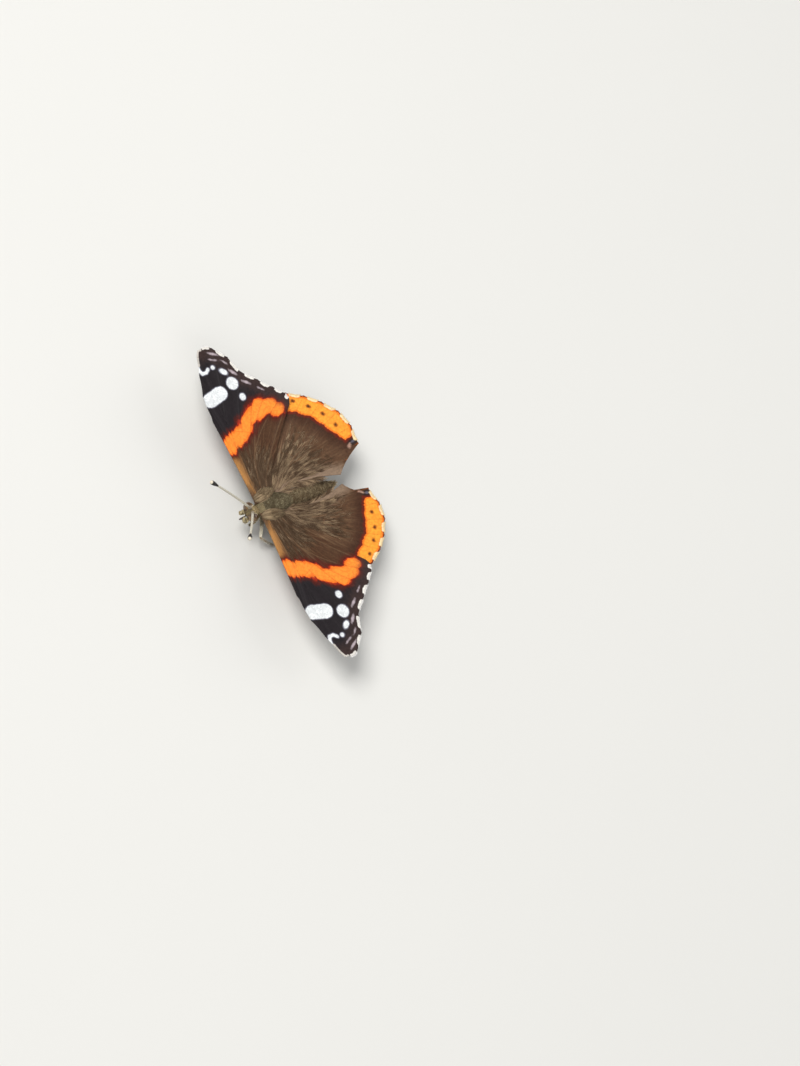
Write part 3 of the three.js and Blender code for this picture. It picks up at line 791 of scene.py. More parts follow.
# %% Colours of the upper faces
FORE_UPPER = [
    # First layer: painted highlight, paler veins over the brown where light catches the raised veins
    ("vein", 0.1, 0.08, 0.02, "#84694c", 0.3),
    ("lead", 0.0, 0.9, 0.5, "#b98349", 0.85),
    ("beyond", 0.9, 1.5, 0.6, "#4a2012", 0.85),
    ("beyond", -1.0, 0.9, 0.4, "#1d191c", 0.97),
    ("band", 0.8, 0.55, 0.45, "#551608", 0.92),
    ("band", 0.25, 0.14, 0.3, "#a82a08", 0.95),
    ("band", 0.05, 0.07, 0.3, "#f07420", 1.0),
    ("band", -0.3, 0.2, 0.3, "#fd8e30", 0.95),
    ("band_vein", 0.06, 0.05, 0.02, "#c2561c", 0.5),
    ("edge", 2.3, 1.3, 1.3, "#46322c", 0.5),
    ("white", 0.14, 0.12, 0.1, "#8c8a98", 0.6),
    ("white", 0.0, 0.08, 0.14, "#e3e5e4", 1.0),
    ("blue", 0.05, 0.14, 0.2, "#b9a9ad", 0.85),
    ("rim", 0.0, 0.08, 0.12, "#d2cabf", 0.85),
    ("fringe", 0.0, 0.08, 0.2, "#ece6dc", 0.97),
]
HIND_UPPER = [
    # First layer: painted highlight, paler veins over the brown where light catches the raised veins
    ("vein", 0.1, 0.08, 0.02, "#7d6247", 0.25),
    ("fold", 0.0, 1.2, 0.6, "#97806a", 0.7),
    ("band", 2.2, 1.7, 0.6, "#3c2012", 0.85),
    ("band", 0.5, 0.35, 0.4, "#6e1a08", 0.92),
    ("band", 0.05, 0.07, 0.3, "#f0761e", 1.0),
    ("band", -0.3, 0.2, 0.3, "#fca033", 0.95),
    ("band_vein", 0.06, 0.05, 0.02, "#cc6a20", 0.5),
    ("vein_end", -0.12, 0.14, 0.2, "#8a4517", 0.75),
    ("white", 0.12, 0.2, 0.25, "#8c3f0e", 0.8),
    ("white", -0.08, 0.12, 0.15, "#3c1c0c", 0.85),
    ("beyond", 0.0, 0.25, 0.4, "#261b17", 0.9),
    ("blush", 0.0, 0.2, 0.5, "#c29b87", 0.75),
    ("blue", 0.0, 0.15, 0.2, "#6c6a78", 0.7),
    ("fringe", 0.0, 0.1, 0.2, "#f5d9a6", 0.95),
]

# %% [markdown]
# ## Colours of the under faces
# The underside of the forewing repeats the pattern more softly. The underside of the hindwing is mottled
# in browns and greys, from large patches to small flecks, which hides the resting butterfly when its
# wings are closed. Each mottle is a size in millimetres, the levels of noise between which it fades in,
# and a colour.

# %% Colours of the under faces, and the four finishes
FORE_UNDER = [
    ("beyond", -0.2, 1.0, 0.4, "#2c2422", 0.9),
    ("lead", 0.1, 0.3, 0.3, "#8a8274", 0.8),
    ("band", 0.3, 0.4, 0.3, "#6a2418", 0.9),
    ("band", 0.0, 0.2, 0.3, "#d8523a", 1.0),
    ("band", -0.8, 0.5, 0.4, "#e88a70", 0.6),
    ("tip", 0.0, 1.0, 0.5, "#6f6353", 0.85),
    ("white", 0.0, 0.15, 0.2, "#ece8e2", 0.95),
    ("blue", 0.2, 0.2, 0.25, "#7f8aa4", 0.8),
    ("fringe", 0.0, 0.1, 0.15, "#e2dacb", 0.9),
    ("vein", 0.1, 0.06, 0.02, "#2c221c", 0.5),
]
HIND_UNDER = [
    ("band", 0.0, 0.8, 0.6, "#6b5f50", 0.55),
    ("rings", 0.35, 0.15, 0.15, "#8f8069", 0.8),
    ("rings", 0.0, 0.12, 0.12, "#1e1a1b", 0.9),
    ("rings", -0.35, 0.12, 0.08, "#6d7c8c", 0.8),
    ("pale", 0.0, 0.3, 0.4, "#cdbf9c", 0.8),
    ("fringe", 0.0, 0.1, 0.15, "#c8b998", 0.8),
    ("vein", 0.1, 0.06, 0.02, "#8a7a64", 0.55),
]
HIND_MOTTLE = [(5.0, 0.5, 0.56, "#2b2522"), (2.6, 0.54, 0.6, "#84755f"), (1.5, 0.56, 0.61, "#1b191a"),
               (0.9, 0.6, 0.66, "#a3947a")]
FORE_MOTTLE = [(2.4, 0.54, 0.62, "#5f5446")]
wing_finishes = {
    "fore": [
        scale_finish("forewing_upper_scales", "#4a2f1c", "#7a5c3f", FORE_UPPER),
        scale_finish("forewing_under_scales", "#4c4036", "#6f604e", FORE_UNDER, FORE_MOTTLE),
    ],
    "hind": [
        scale_finish("hindwing_upper_scales", "#573c28", "#8c6e50", HIND_UPPER),
        scale_finish("hindwing_under_scales", "#4a3f35", "#5e5142", HIND_UNDER, HIND_MOTTLE),
    ],
}
print("wing finishes:", [finish.name for pair in wing_finishes.values() for finish in pair])

# %% [markdown]
# ## Making a wing
# The upper and lower face share one grid, a fifth of a millimetre apart, and a narrow rim joins them, so
# the wing is a closed sheet with real thickness. The two faces are laid side by side in the map used for
# baking, seen from straight above, which keeps the pattern in one piece.

# %% What each point of a wing knows
SCALE_LIE = 12.0  # millimetres of pattern for each radian about the hinge
FRINGE_DEPTH = 0.42  # how far in from the margin the painted fringe reaches
ROUNDED = 0.3  # how round the corners of the fringe bars are
PAST_CORNER = -70.0  # beyond this angle the fringe of the hindwing has no pale bars
TAN_EDGE = {"width": 1.05, "from": 1.9, "to": 11.5}  # tan scales near the forewing's leading edge
BAND_VEIN_INSET = 0.1  # the darker veins stop this far inside the orange band
UNDER_TIP = ((28.0, 0.4), 7.0, 6.0, -10)  # centre, length, width and turn of the grey tip below
UNDER_PALE = ((12.5, 0.2), 3.4, 1.6, 5)
RINGS = [(16.4, -26.5), (16.6, -36.0), (16.6, -45.0), (16.2, -54.5)]
RING_SIZE = (1.7, 1.5)
FOLD_WIDTH = 1.8  # paler strip along the inner edge of the hindwing
VEIN_END = {"half": 0.42, "narrowing": 0.7}  # dark wedges where the veins meet the margin


def wing_fields(which, side, grid):
    """Every distance that the two finishes of a wing read, in millimetres."""
    _, size, _ = POSE[which, side]
    place, order = grid["place"], grid["order"]
    margin_from, margin_to = WINGS[which]["margin"]
    last_row, last_order = place[-1], order[-1]
    margin = last_row[(last_order >= margin_from) & (last_order <= margin_to)]
    leading = np.vstack([place[::8, 0], last_row[last_order <= margin_from]])
    grid["edge"] = segment_distance(place, margin[::2])
    lead = segment_distance(place, leading[::2])
    radius = np.hypot(place[..., 0], place[..., 1])
    turn = np.arctan2(place[..., 1], np.maximum(place[..., 0], 1e-6))
    marks = {"fore": forewing_marks, "hind": hindwing_marks}[which](place / size, grid)
    bar = np.maximum(np.stack([grid["edge"] - FRINGE_DEPTH, grid["bars"]]) + ROUNDED, 0)
    fields = {
        **marks,
        "fringe": np.hypot(*bar) - ROUNDED,
        "vein": grid["vein"],
        "band_vein": np.maximum(grid["vein"], marks["band"] + BAND_VEIN_INSET),
        "root": radius,
        "lie": np.stack([radius, turn * SCALE_LIE, np.zeros_like(radius)], axis=-1),
    }
    if which == "fore":
        out = place[..., 0]
        fields["lead"] = np.maximum.reduce([
            lead - TAN_EDGE["width"], out - TAN_EDGE["to"], TAN_EDGE["from"] - out])
        fields["tip"] = oval(place, *UNDER_TIP)
        fields["edge"] = grid["edge"]
        fields["rim"] = np.maximum(lead - COSTA_RIM["width"], COSTA_RIM["from"] * size - out)
    else:
        fields["fringe"] = fields["fringe"] + (np.degrees(turn) < PAST_CORNER)
        fields["rings"] = together(*[polar_oval(place / size, ring, *RING_SIZE, ring[1]) for ring in RINGS])
        fields["pale"] = oval(place, *UNDER_PALE)
        fields["fold"] = segment_distance(place, place[::4, -1]) - FOLD_WIDTH
        fields["vein_end"] = grid["vein"] + VEIN_END["narrowing"] * grid["edge"] - VEIN_END["half"]
    return fields


# %% [markdown]
# ## Faces of a thin closed sheet
# The grid's squares give the upper face, and the same squares turned over give the lower one. A strip of
# squares round the border joins the two, so the sheet is closed. Corners that fell together are dropped,
# so that a square there becomes a triangle.

# %% Faces and their places on the bake map
FLAT_MAP = {"span": 0.96, "border": 0.015, "apart": 0.8, "spare": 1.0, "hem": 0.003}


def wing_faces(keep, shape, outward_left):
    """Faces of the upper sheet, the lower sheet and the rim, with columns that fell together joined."""
    rows, columns = shape
    count = rows * columns
    at = keep.reshape(shape)
    loop = ([(0, c) for c in range(columns)] + [(r, columns - 1) for r in range(1, rows)]
            + [(rows - 1, c) for c in range(columns - 2, -1, -1)] + [(r, 0) for r in range(rows - 2, 0, -1)])
    upper, rim = [], []
    for r in range(rows - 1):
        for a, b, c, d in zip(at[r, :-1], at[r + 1, :-1], at[r + 1, 1:], at[r, 1:]):
            corners = [p for p, q in zip((a, b, c, d), (b, c, d, a)) if p != q]
            if len(set(corners)) == len(corners) >= 3:
                upper.append(corners)
    for (r0, c0), (r1, c1) in zip(loop, loop[1:] + loop[:1]):
        a, b = at[r0, c0], at[r1, c1]
        if a != b:
            rim.append([a, b, b + count, a + count])
    lower = [[p + count for p in reversed(face)] for face in upper]
    if not outward_left:
        upper, lower, rim = ([face[::-1] for face in faces] for faces in (upper, lower, rim))
    return upper, lower, rim


def wing_map(plan, faces, count):
    """A place on the bake map for each corner of each face: upper face below, under face above it."""
    low, high = plan.min(0), plan.max(0)
    scale = FLAT_MAP["span"] / max(high[0] - low[0], 2 * (high[1] - low[1]) + FLAT_MAP["spare"])
    upper, lower, rim = faces
    flat = (plan - low) * scale + FLAT_MAP["border"]
    raised = flat + [0, (high[1] - low[1] + FLAT_MAP["apart"]) * scale]
    both = np.vstack([flat, raised])
    corners = [both[face] for face in upper + lower]
    centre = flat.mean(0)
    for face in rim:
        twins = flat[[p % count for p in face]]
        hem = unit(twins - centre) * FLAT_MAP["hem"]
        below = np.array([[p >= count] for p in face])
        corners.append(twins + hem * below)
    return np.vstack(corners)


# %% Four wings
THICKNESS = {"root": 0.24, "margin": 0.14}
RIDGE_HEIGHT = {"root": 0.13, "margin": 0.07}
RIDGE_BELOW = 0.6  # the veins stand out less on the under face


def make_wing(which, side):
    grid = vein_grid(which, side)
    fields = wing_fields(which, side, grid)
    rows = grid["rows"]
    sheet = wing_in_space(which, side, grid["place"], rows)
    sheet[..., 2] += PLEAT["height"] * grid["pleat"] * smooth_step(PLEAT["from"], PLEAT["full"], rows)
    waves = np.sin(grid["order"] * FLUTTER["for_each_space"])
    sheet[..., 2] += FLUTTER["height"] * waves * rows ** FLUTTER["power"]
    half = lerp(THICKNESS["root"], THICKNESS["margin"], rows) / 2
    lift = grid["ridge"] * lerp(RIDGE_HEIGHT["root"], RIDGE_HEIGHT["margin"], rows)
    upper, lower = sheet.copy(), sheet.copy()
    upper[..., 2] += half + lift
    lower[..., 2] -= half + lift * RIDGE_BELOW
    points = np.vstack([upper.reshape(-1, 3), lower.reshape(-1, 3)])
    keys = np.round(grid["place"].reshape(-1, 2), 3)
    _, first, joined = np.unique(keys, axis=0, return_index=True, return_inverse=True)
    faces = wing_faces(first[joined.ravel()], rows.shape, side == "left")
    corner_map = wing_map(sheet.reshape(-1, 3)[:, :2], faces, rows.size)
    finish_of = [0] * len(faces[0]) + [1] * len(faces[1]) + [0] * len(faces[2])
    doubled = {name: np.concatenate([v.reshape(rows.size, -1)] * 2).squeeze() for name, v in fields.items()}
    make_piece(
        f"{which}wing_scales_{side}", points, faces[0] + faces[1] + faces[2], wing_finishes[which],
        [f"{which}wing_{side}"], doubled, corner_map, finish_of)
    return grid, sheet


wings = {(which, side): make_wing(which, side) for which in WINGS for side in SIDES}

# %% [markdown]
# ## Hair and fringe as mesh
# Hair, fringe and the long scales of a butterfly are far too many to place by hand. Each is a slim closed
# blade: three rings of three points and a tip, curved once. All blades of a piece are worked out together
# as arrays. They are drawn several times thicker than real hairs, in the way that a few wet hairs cling
# together, or they would be lost in the picture.

# %% Blades
BLADE_RINGS = (0.0, 0.38, 0.72)
BLADE_THICKNESS = 0.45  # as a fraction of its width
MAP_PATCH = 0.003  # size of each blade's patch on the bake map
SHADE_SPREAD = 0.12  # how much neighbouring blades differ in paleness


def blades(roots, lie, away, lengths, widths, rise, sag, flat):
    """Curved blades: points, faces, and the fraction of the way from root to tip at each point."""
    lie, away = unit(lie), unit(away)
    across = unit(np.cross(lie, away))
    rise, sag = (np.broadcast_to(value, lengths.shape)[:, None] for value in (rise, sag))
    lengths, widths = lengths[:, None], widths[:, None]
    rings, tips = [], []
    for along in BLADE_RINGS:
        spine = roots + lengths * (lie * along + away * (rise * along - sag * along ** 2))
        half = widths * 0.5 * (1 - along ** 2)
        rings += [spine + across * half, spine - across * half, spine + away * half * flat * 2]
        tips += [along] * 3
    rings.append(roots + lengths * (lie + away * (rise - sag)))
    tips.append(1.0)
    each = len(rings)
    points = np.stack(rings, axis=1).reshape(-1, 3)
    pattern = [[2, 1, 0]]
    for ring in range(len(BLADE_RINGS) - 1):
        for k in range(3):
            a, b = ring * 3 + k, ring * 3 + (k + 1) % 3
            pattern.append([a, b, b + 3, a + 3])
    last = (len(BLADE_RINGS) - 1) * 3
    pattern += [[last + k, last + (k + 1) % 3, each - 1] for k in range(3)]
    starts = np.arange(len(roots)) * each
    faces = [[corner + start for corner in face] for start in starts.tolist() for face in pattern]
    return points, faces, np.tile(tips, len(roots)), each


def blade_map(places, faces, tips, each):
    """Each blade has a small patch on the bake map, at its root's place on the unwrapped skin."""
    around = np.tile(np.linspace(-0.5, 0.5, each), len(places))
    spread = np.stack([around, tips - 0.5], axis=1) * MAP_PATCH
    points = np.repeat(places, each, axis=0) + spread
    return points[np.concatenate(faces)]


def coat(name, rng, roots, lie, away, lengths, widths, rise, sag, places, pale, finish,
         flat=BLADE_THICKNESS):
    """A piece made of many blades, with how pale each is and how near its tip each point lies."""
    points, faces, tips, each = blades(roots, lie, away, lengths, widths, rise, sag, flat)
    varied = pale + rng.normal(0, SHADE_SPREAD, len(roots))
    fields = {"pale": np.repeat(varied, each), "tip": tips}
    corner_map = blade_map(places, faces, tips, each)
    return make_piece(name, points, faces, [finish], fields=fields, face_uv=corner_map)


# %% [markdown]
# ## Tufts
# Fur never stands as single hairs: it gathers into small tufts that share a direction and a shade, and
# the dark gaps between them make it look deep. So some hairs are picked as the middles of tufts, and each
# other hair leans towards the nearest of them.

# %% Gathering into tufts
TUFT = {"same_way": 0.6, "same_shade": 0.7, "pull": 0.7}  # how far a hair follows the middle one


def in_tufts(rng, roots, lie, lengths, pale, tufts, pull=TUFT["pull"]):
    """Each hair's direction and paleness, once gathered into so many tufts."""
    middles = rng.choice(len(roots), tufts, replace=False)
    nearest = [np.argmin(np.linalg.norm(roots[middles] - root, axis=1)) for root in roots]
    middle = middles[nearest]
    lie = unit(lie)
    gathered = lerp(lie, lie[middle], TUFT["same_way"]) + pull * (roots[middle] - roots) / lengths[:, None]
    return gathered, lerp(pale, pale[middle], TUFT["same_shade"])


# %% [markdown]
# ## The finish of hair and loose scales
# A hair of a butterfly is a long thin scale of chitin, dull and rather rough, so it gives hardly any
# highlight. It looks darker at the root, where other hairs shade it. The colour runs from a dark to a
# light tone with the paleness of each hair and with soft patches over the body.

# %% Hair finish
HAIR = {"roughness": 0.68, "root_shade": 0.6, "shaded_to": 0.7, "patch": 1.2}


def hair_finish(name, dark, light):
    """Chitin hair: darker at the root and paler from one hair to the next, never all one colour."""
    material, tree, shader = new_finish(name, HAIR["roughness"], CHITIN_IOR, Specular_IOR_Level=0.16)
    pale = node(tree, "ShaderNodeAttribute", attribute_name="pale").outputs["Fac"]
    tip = node(tree, "ShaderNodeAttribute", attribute_name="tip").outputs["Fac"]
    place = node(tree, "ShaderNodeTexCoord").outputs["Object"]
    patchy = node(tree, "ShaderNodeTexNoise",
                  {"Vector": place, "Scale": 1 / (HAIR["patch"] * MM)}).outputs["Fac"]
    share = node(tree, "ShaderNodeMath", {0: patchy, 1: 0.5, 2: pale}, operation="MULTIPLY_ADD")
    colour = laid_over(tree, share.outputs[0], 0.15, 1.0, linear(dark), linear(light))
    set_surface(tree, shader, shaded(tree, colour, tip, HAIR["shaded_to"], HAIR["root_shade"], 1.0))
    return material


# %% [markdown]
# ## The fringe
# A fine fringe of long scales edges the outer margin of each wing. It is white on the forewing and cream
# on the hindwing in the middle of each space between veins, and dark at the vein ends, which gives a red
# admiral its dotted outline. It could be painted on the sheet, but then the outline would be hard. So
# blades stand in a row along the edge of the membrane and point straight out of it, short where they are
# dark.

# %% Fringe of each wing
FRINGE = {"length": 0.5, "vary": (0.75, 1.15), "short": 0.3, "width": 0.11, "thickness": 0.2, "every": 0.035,
          "jitter": 0.02, "splay": 0.08, "sag": 0.05, "rooted": 0.12, "corner_pale": 0.2}
HEADING_ROWS = 12  # rows of the grid over which the outward direction is measured
fringe_finishes = {
    "fore": hair_finish("forewing_fringe_scales", "#241f1e", "#f6f3ee"),
    "hind": hair_finish("hindwing_fringe_scales", "#8f5827", "#f8dfae"),
}


def make_fringe(which, side):
    rng = np.random.default_rng(11)
    grid, sheet = wings[which, side]
    margin_from, margin_to = WINGS[which]["margin"]
    order, edge, inner = grid["order"][-1], sheet[-1], sheet[-HEADING_ROWS]
    kept = (order >= margin_from) & (order <= margin_to)
    order, edge, outward = order[kept], edge[kept], unit(edge - inner)[kept]
    run = np.concatenate([[0], np.cumsum(np.linalg.norm(np.diff(edge, axis=0), axis=1))])
    spots = np.arange(0, run[-1], FRINGE["every"])
    spots = np.clip(spots + rng.uniform(-FRINGE["jitter"], FRINGE["jitter"], len(spots)), 0, run[-1])

    def between(values):
        return np.stack([np.interp(spots, run, values[:, k]) for k in range(3)], axis=1)

    roots, lie = between(edge), between(outward)
    at_order = np.interp(spots, run, order)
    white = (np.abs(at_order % 1 - 0.5) < BAR_SHARE / 2 + 0.03).astype(float)
    if which == "hind":
        turn = np.degrees(np.arctan2(grid["place"][-1, kept, 1], grid["place"][-1, kept, 0]))
        white = np.where(np.interp(spots, run, turn) < PAST_CORNER, FRINGE["corner_pale"], white)
    away = np.tile((0.0, 0.0, 1.0), (len(spots), 1))
    lie = lie + rng.normal(0, FRINGE["splay"], lie.shape)
    vary = rng.uniform(*FRINGE["vary"], len(spots))
    lengths = FRINGE["length"] * vary * lerp(FRINGE["short"], 1.0, white)
    widths = np.full(len(spots), FRINGE["width"])
    places = np.stack([on_map(spots / run[-1]), rng.uniform(0.05, 0.95, len(spots))], axis=1)
    roots = roots - lie * FRINGE["rooted"]
    coat(f"{which}wing_fringe_{side}", rng, roots, lie, away, lengths, widths, 0.0, FRINGE["sag"], places,
         white, fringe_finishes[which], flat=FRINGE["thickness"])


for which, side in wings:
    make_fringe(which, side)

# %% [markdown]
# ## The body under the hair
# Head, thorax and abdomen are one skin here, so that no seam shows between them. It is a loft of upright
# ovals along the body, a little slimmer than the solids by the depth of the coat, drawn in at the neck
# and waist. The abdomen steps in slightly behind each of its plates.

# %% Sizes of the body
ABDOMEN = {"length": 10.3, "root": 1.45, "belly": 0.5, "tip": 0.55, "droop": 1.2, "segments": 8, "step": 0.09,
           "rounded_from": 0.93}
HEAD = {"length": 2.2, "rear": 1.05, "widen": 0.12, "deepen": 0.42, "rise": 0.6}
COAT_DEPTH = {"head": 0.12, "thorax": 0.4, "abdomen": 0.22}
FACE = THORAX["front"] - GAP - HEAD["length"]  # front end of the head
TAIL = THORAX["back"] + GAP + ABDOMEN["length"]
NECK = {"y": THORAX["front"] - 0.1, "radius": 0.8, "z": 0.35}
WAIST = {"y": THORAX["back"] + 0.15, "radius": 1.2, "z": 0.0}


def head_at(y):
    along = np.clip((THORAX["front"] - GAP - y) / HEAD["length"], 0, 1)
    rounded = np.sqrt(np.maximum(0, 1 - along ** 4))
    swell = np.sin(np.pi * along)
    return (HEAD["rear"] + HEAD["widen"] * swell) * rounded, (HEAD["rear"] + HEAD["deepen"] * swell) * rounded


def abdomen_at(y):
    along = np.clip((y - THORAX["back"] - GAP) / ABDOMEN["length"], 0, 1)
    plate = (along * ABDOMEN["segments"]) % 1.0
    belly = ABDOMEN["belly"] * np.sin(np.pi * along ** 0.8)
    radius = lerp(ABDOMEN["root"], ABDOMEN["tip"], along ** 2.2) + belly
    in_tip = np.clip((along - ABDOMEN["rounded_from"]) / (1 - ABDOMEN["rounded_from"]), 0, 1)
    rounded = np.sqrt(np.maximum(0, 1 - in_tip ** 2))
    return (radius + ABDOMEN["step"] * plate) * rounded, -ABDOMEN["droop"] * along ** 1.5


# %% The skin's profile


def skin_profile():
    """Half width, half height and height of the axis at places along the body, head to tail."""
    head_y = FACE + HEAD["length"] * np.linspace(0.004, 0.92, 16) ** 1.5
    thorax_y = np.linspace(THORAX["front"] + 0.5, THORAX["back"] - 0.35, 24)
    abdomen_y = np.linspace(THORAX["back"] + GAP + 0.3, TAIL, 120)
    head_w, head_h = head_at(head_y)
    thorax_w, thorax_h = thorax_at(thorax_y)
    abdomen_r, abdomen_z = abdomen_at(abdomen_y)
    y = np.concatenate([head_y, [NECK["y"]], thorax_y, [WAIST["y"]], abdomen_y])
    head_scale = np.maximum(0.02, 1 - COAT_DEPTH["head"] / np.maximum(head_w, 0.1))
    bare_abdomen = np.maximum(0.01, abdomen_r - COAT_DEPTH["abdomen"])
    wide, high = (
        np.concatenate([head * head_scale, [NECK["radius"]], thorax - COAT_DEPTH["thorax"],
                        [WAIST["radius"]], bare_abdomen])
        for head, thorax in ((head_w, thorax_w), (head_h, thorax_h)))
    axis = np.concatenate([
        np.full_like(head_y, HEAD["rise"]), [NECK["z"]], np.zeros_like(thorax_y), [WAIST["z"]], abdomen_z])
    return y, wide, high, axis


PROFILE = skin_profile()
print("body from", PROFILE[0][0].round(2), "to", PROFILE[0][-1].round(2), "millimetres")


def skin_point(y, turn):
    """A point of the skin, from the place along the body and the turn about it from the back downwards."""
    y = np.asarray(y, float)
    wide, high, axis = (np.interp(y, PROFILE[0], values) for values in PROFILE[1:])
    return np.stack([wide * np.sin(turn), y + 0 * turn, axis + high * np.cos(turn)], axis=-1)


def skin_away(y, turn):
    """The direction straight out of the skin."""
    ahead = skin_point(y + 0.25, turn) - skin_point(y - 0.25, turn)
    around = skin_point(y, turn + 0.02) - skin_point(y, turn - 0.02)
    return unit(np.cross(ahead, around))


# %% [markdown]
# ## Bare chitin
# The skin of an insect is chitin, hardened and tanned brown. It is smooth and slightly shiny where it is
# bare, as on the legs, and dull under the coat. The sockets of the scales show as fine pits, drawn
# several times coarser than real ones so that they show at all.

# %% Chitin and the skin
PITS_APART = 0.15
PIT_RELIEF = {"depth": 0.02, "strength": 0.4}
CLOUD_SIZE = 1.5  # millimetres across the lighter patches
SKIN_SIDES = 64


def chitin(name, colour, light, roughness=0.45, specular=0.5):
    """Chitin: hard and brown, with the fine pitting of empty scale sockets."""
    material, tree, shader = new_finish(name, roughness, CHITIN_IOR, Specular_IOR_Level=specular)
    place = node(tree, "ShaderNodeTexCoord").outputs["Object"]
    pits = node(tree, "ShaderNodeTexVoronoi", {"Vector": place, "Scale": 1 / (PITS_APART * MM)})
    cloud = node(tree, "ShaderNodeTexNoise",
                 {"Vector": place, "Scale": 1 / (CLOUD_SIZE * MM), "Detail": 4.0}).outputs["Fac"]
    clouded = laid_over(tree, cloud, 0.35, 0.7, linear(colour), linear(light))
    set_surface(tree, shader, clouded, pits.outputs["Distance"], **PIT_RELIEF)
    return material


def tube_faces(rings, sides):
    """Squares between so many rings of points."""
    faces = []
    for r in range(rings - 1):
        for k in range(sides):
            a, b = r * sides + k, r * sides + (k + 1) % sides
            faces.append([a, b, b + sides, a + sides])
    return faces


def make_skin():
    rows = PROFILE[0]
    turns = np.linspace(0, 2 * np.pi, SKIN_SIDES + 1)
    y, turn = np.meshgrid(rows, turns[:-1], indexing="ij")
    points = skin_point(y, turn).reshape(-1, 3)
    faces = tube_faces(len(rows), SKIN_SIDES)
    corner_map = []
    for r in range(len(rows) - 1):
        for k in range(SKIN_SIDES):
            corner_map += [(k, r), (k + 1, r), (k + 1, r + 1), (k, r + 1)]
    for r, way in ((0, -1), (len(rows) - 1, 1)):
        ring = [r * SKIN_SIDES + k for k in range(SKIN_SIDES)]
        faces.append(ring[::-way])
        corner_map += [(k, r) for k in range(SKIN_SIDES)][::-way]
    flat = np.array(corner_map, float)
    flat[:, 0] = on_map(flat[:, 0] / SKIN_SIDES)
    flat[:, 1] = on_map((rows[flat[:, 1].astype(int)] - rows[0]) / (rows[-1] - rows[0]))
    finish = chitin("brown_chitin", "#453828", "#5e503a", 0.8, 0.15)
    make_piece("body_skin", points, faces, [finish], ["head", "thorax", "abdomen"], face_uv=flat)


def skin_place(y, turn):
    """A place on the unwrap of the skin."""
    along = (y - PROFILE[0][0]) / (PROFILE[0][-1] - PROFILE[0][0])
    return on_map(np.stack([(turn % (2 * np.pi)) / (2 * np.pi), along], axis=1))


make_skin()

# %% [markdown]
# ## The coat of the body
# The thorax is thickly furred with olive-brown hair that lies backwards and out over the wing roots. A
# paler collar stands behind the head, the abdomen is covered in shorter, flatter hair, and the underside
# is paler. Each coat is scattered evenly over the area of the skin with a fixed seed and combed
# backwards. Hair is shortest on the head.

# %% Scattering and combing
BACKWARDS = np.array([0.0, 1.0, 0.0])
body_hair_finish = hair_finish("olive_brown_hair", "#74664b", "#cbbb93")
abdomen_hair_finish = hair_finish("brown_abdomen_hair", "#836d4e", "#d2bc94")
collar_hair_finish = hair_finish("tan_collar_hair", "#876a45", "#e0c795")
shoulder_hair_finish = hair_finish("brown_shoulder_hair", "#755f45", "#d0b690")


def scatter(rng, count, y_from, y_to):
    """Places spread evenly over the area of the skin between two places along the body."""
    edges = np.linspace(y_from, y_to, 400)
    wide = np.interp(edges, PROFILE[0], PROFILE[1])
    area = np.hypot(np.diff(edges), np.diff(wide)) * (wide[:-1] + wide[1:])
    picks = rng.choice(len(area), count, p=area / area.sum())
    y = edges[picks] + rng.uniform(0, edges[1] - edges[0], count)
    return y, rng.uniform(0, 2 * np.pi, count)


def combed(way, away):
    """A way of combing laid flat on the skin."""
    return way - (way * away).sum(1, keepdims=True) * away


# %% [markdown]
# ## How pale the hair is
# The paleness runs from 0, the dark tone of a finish, to 1, its light tone. It is worked out from the
# place along the body and the turn about it, which is 0 on the back and pi below.

# %% Paleness over the body


def below(turn):
    """1 on the underside, 0 on the back."""
    return smooth_step(1.4, 2.4, np.abs((turn + np.pi) % (2 * np.pi) - np.pi))


def thorax_pale(y, turn):
    """Paler towards the collar and below."""
    collar = np.exp(-((y - THORAX["front"] - 0.6) / 0.45) ** 2) * 0.6
    return 0.12 + collar + 0.4 * below(turn)


def abdomen_pale(y, turn):
    """Paler at the rear edge of each plate and below."""
    plate = ((y - THORAX["back"] - GAP) / ABDOMEN["length"] * ABDOMEN["segments"]) % 1
    return 0.1 + 0.15 * smooth_step(0.7, 1.0, plate) + 0.4 * below(turn)


def head_pale(y, turn):
    return 0.25 + 0.3 * smooth_step(0.6, 1.6, np.abs(turn - np.pi))


def collar_pale(y, turn):
    """Tan on the upper side."""
    return 0.2 + 0.5 * smooth_step(1.6, 2.6, np.abs(turn - np.pi))


# %% [markdown]
# ## Four coats
# Each coat is one entry in a table: where it starts and ends along the body, its hairs and tufts, how
# long and wide a hair is, how it rises and sags, and how it is combed. The rise lifts a hair clear of the
# skin, and the sag lets it fall back, so longer hair lies in a flat curve.

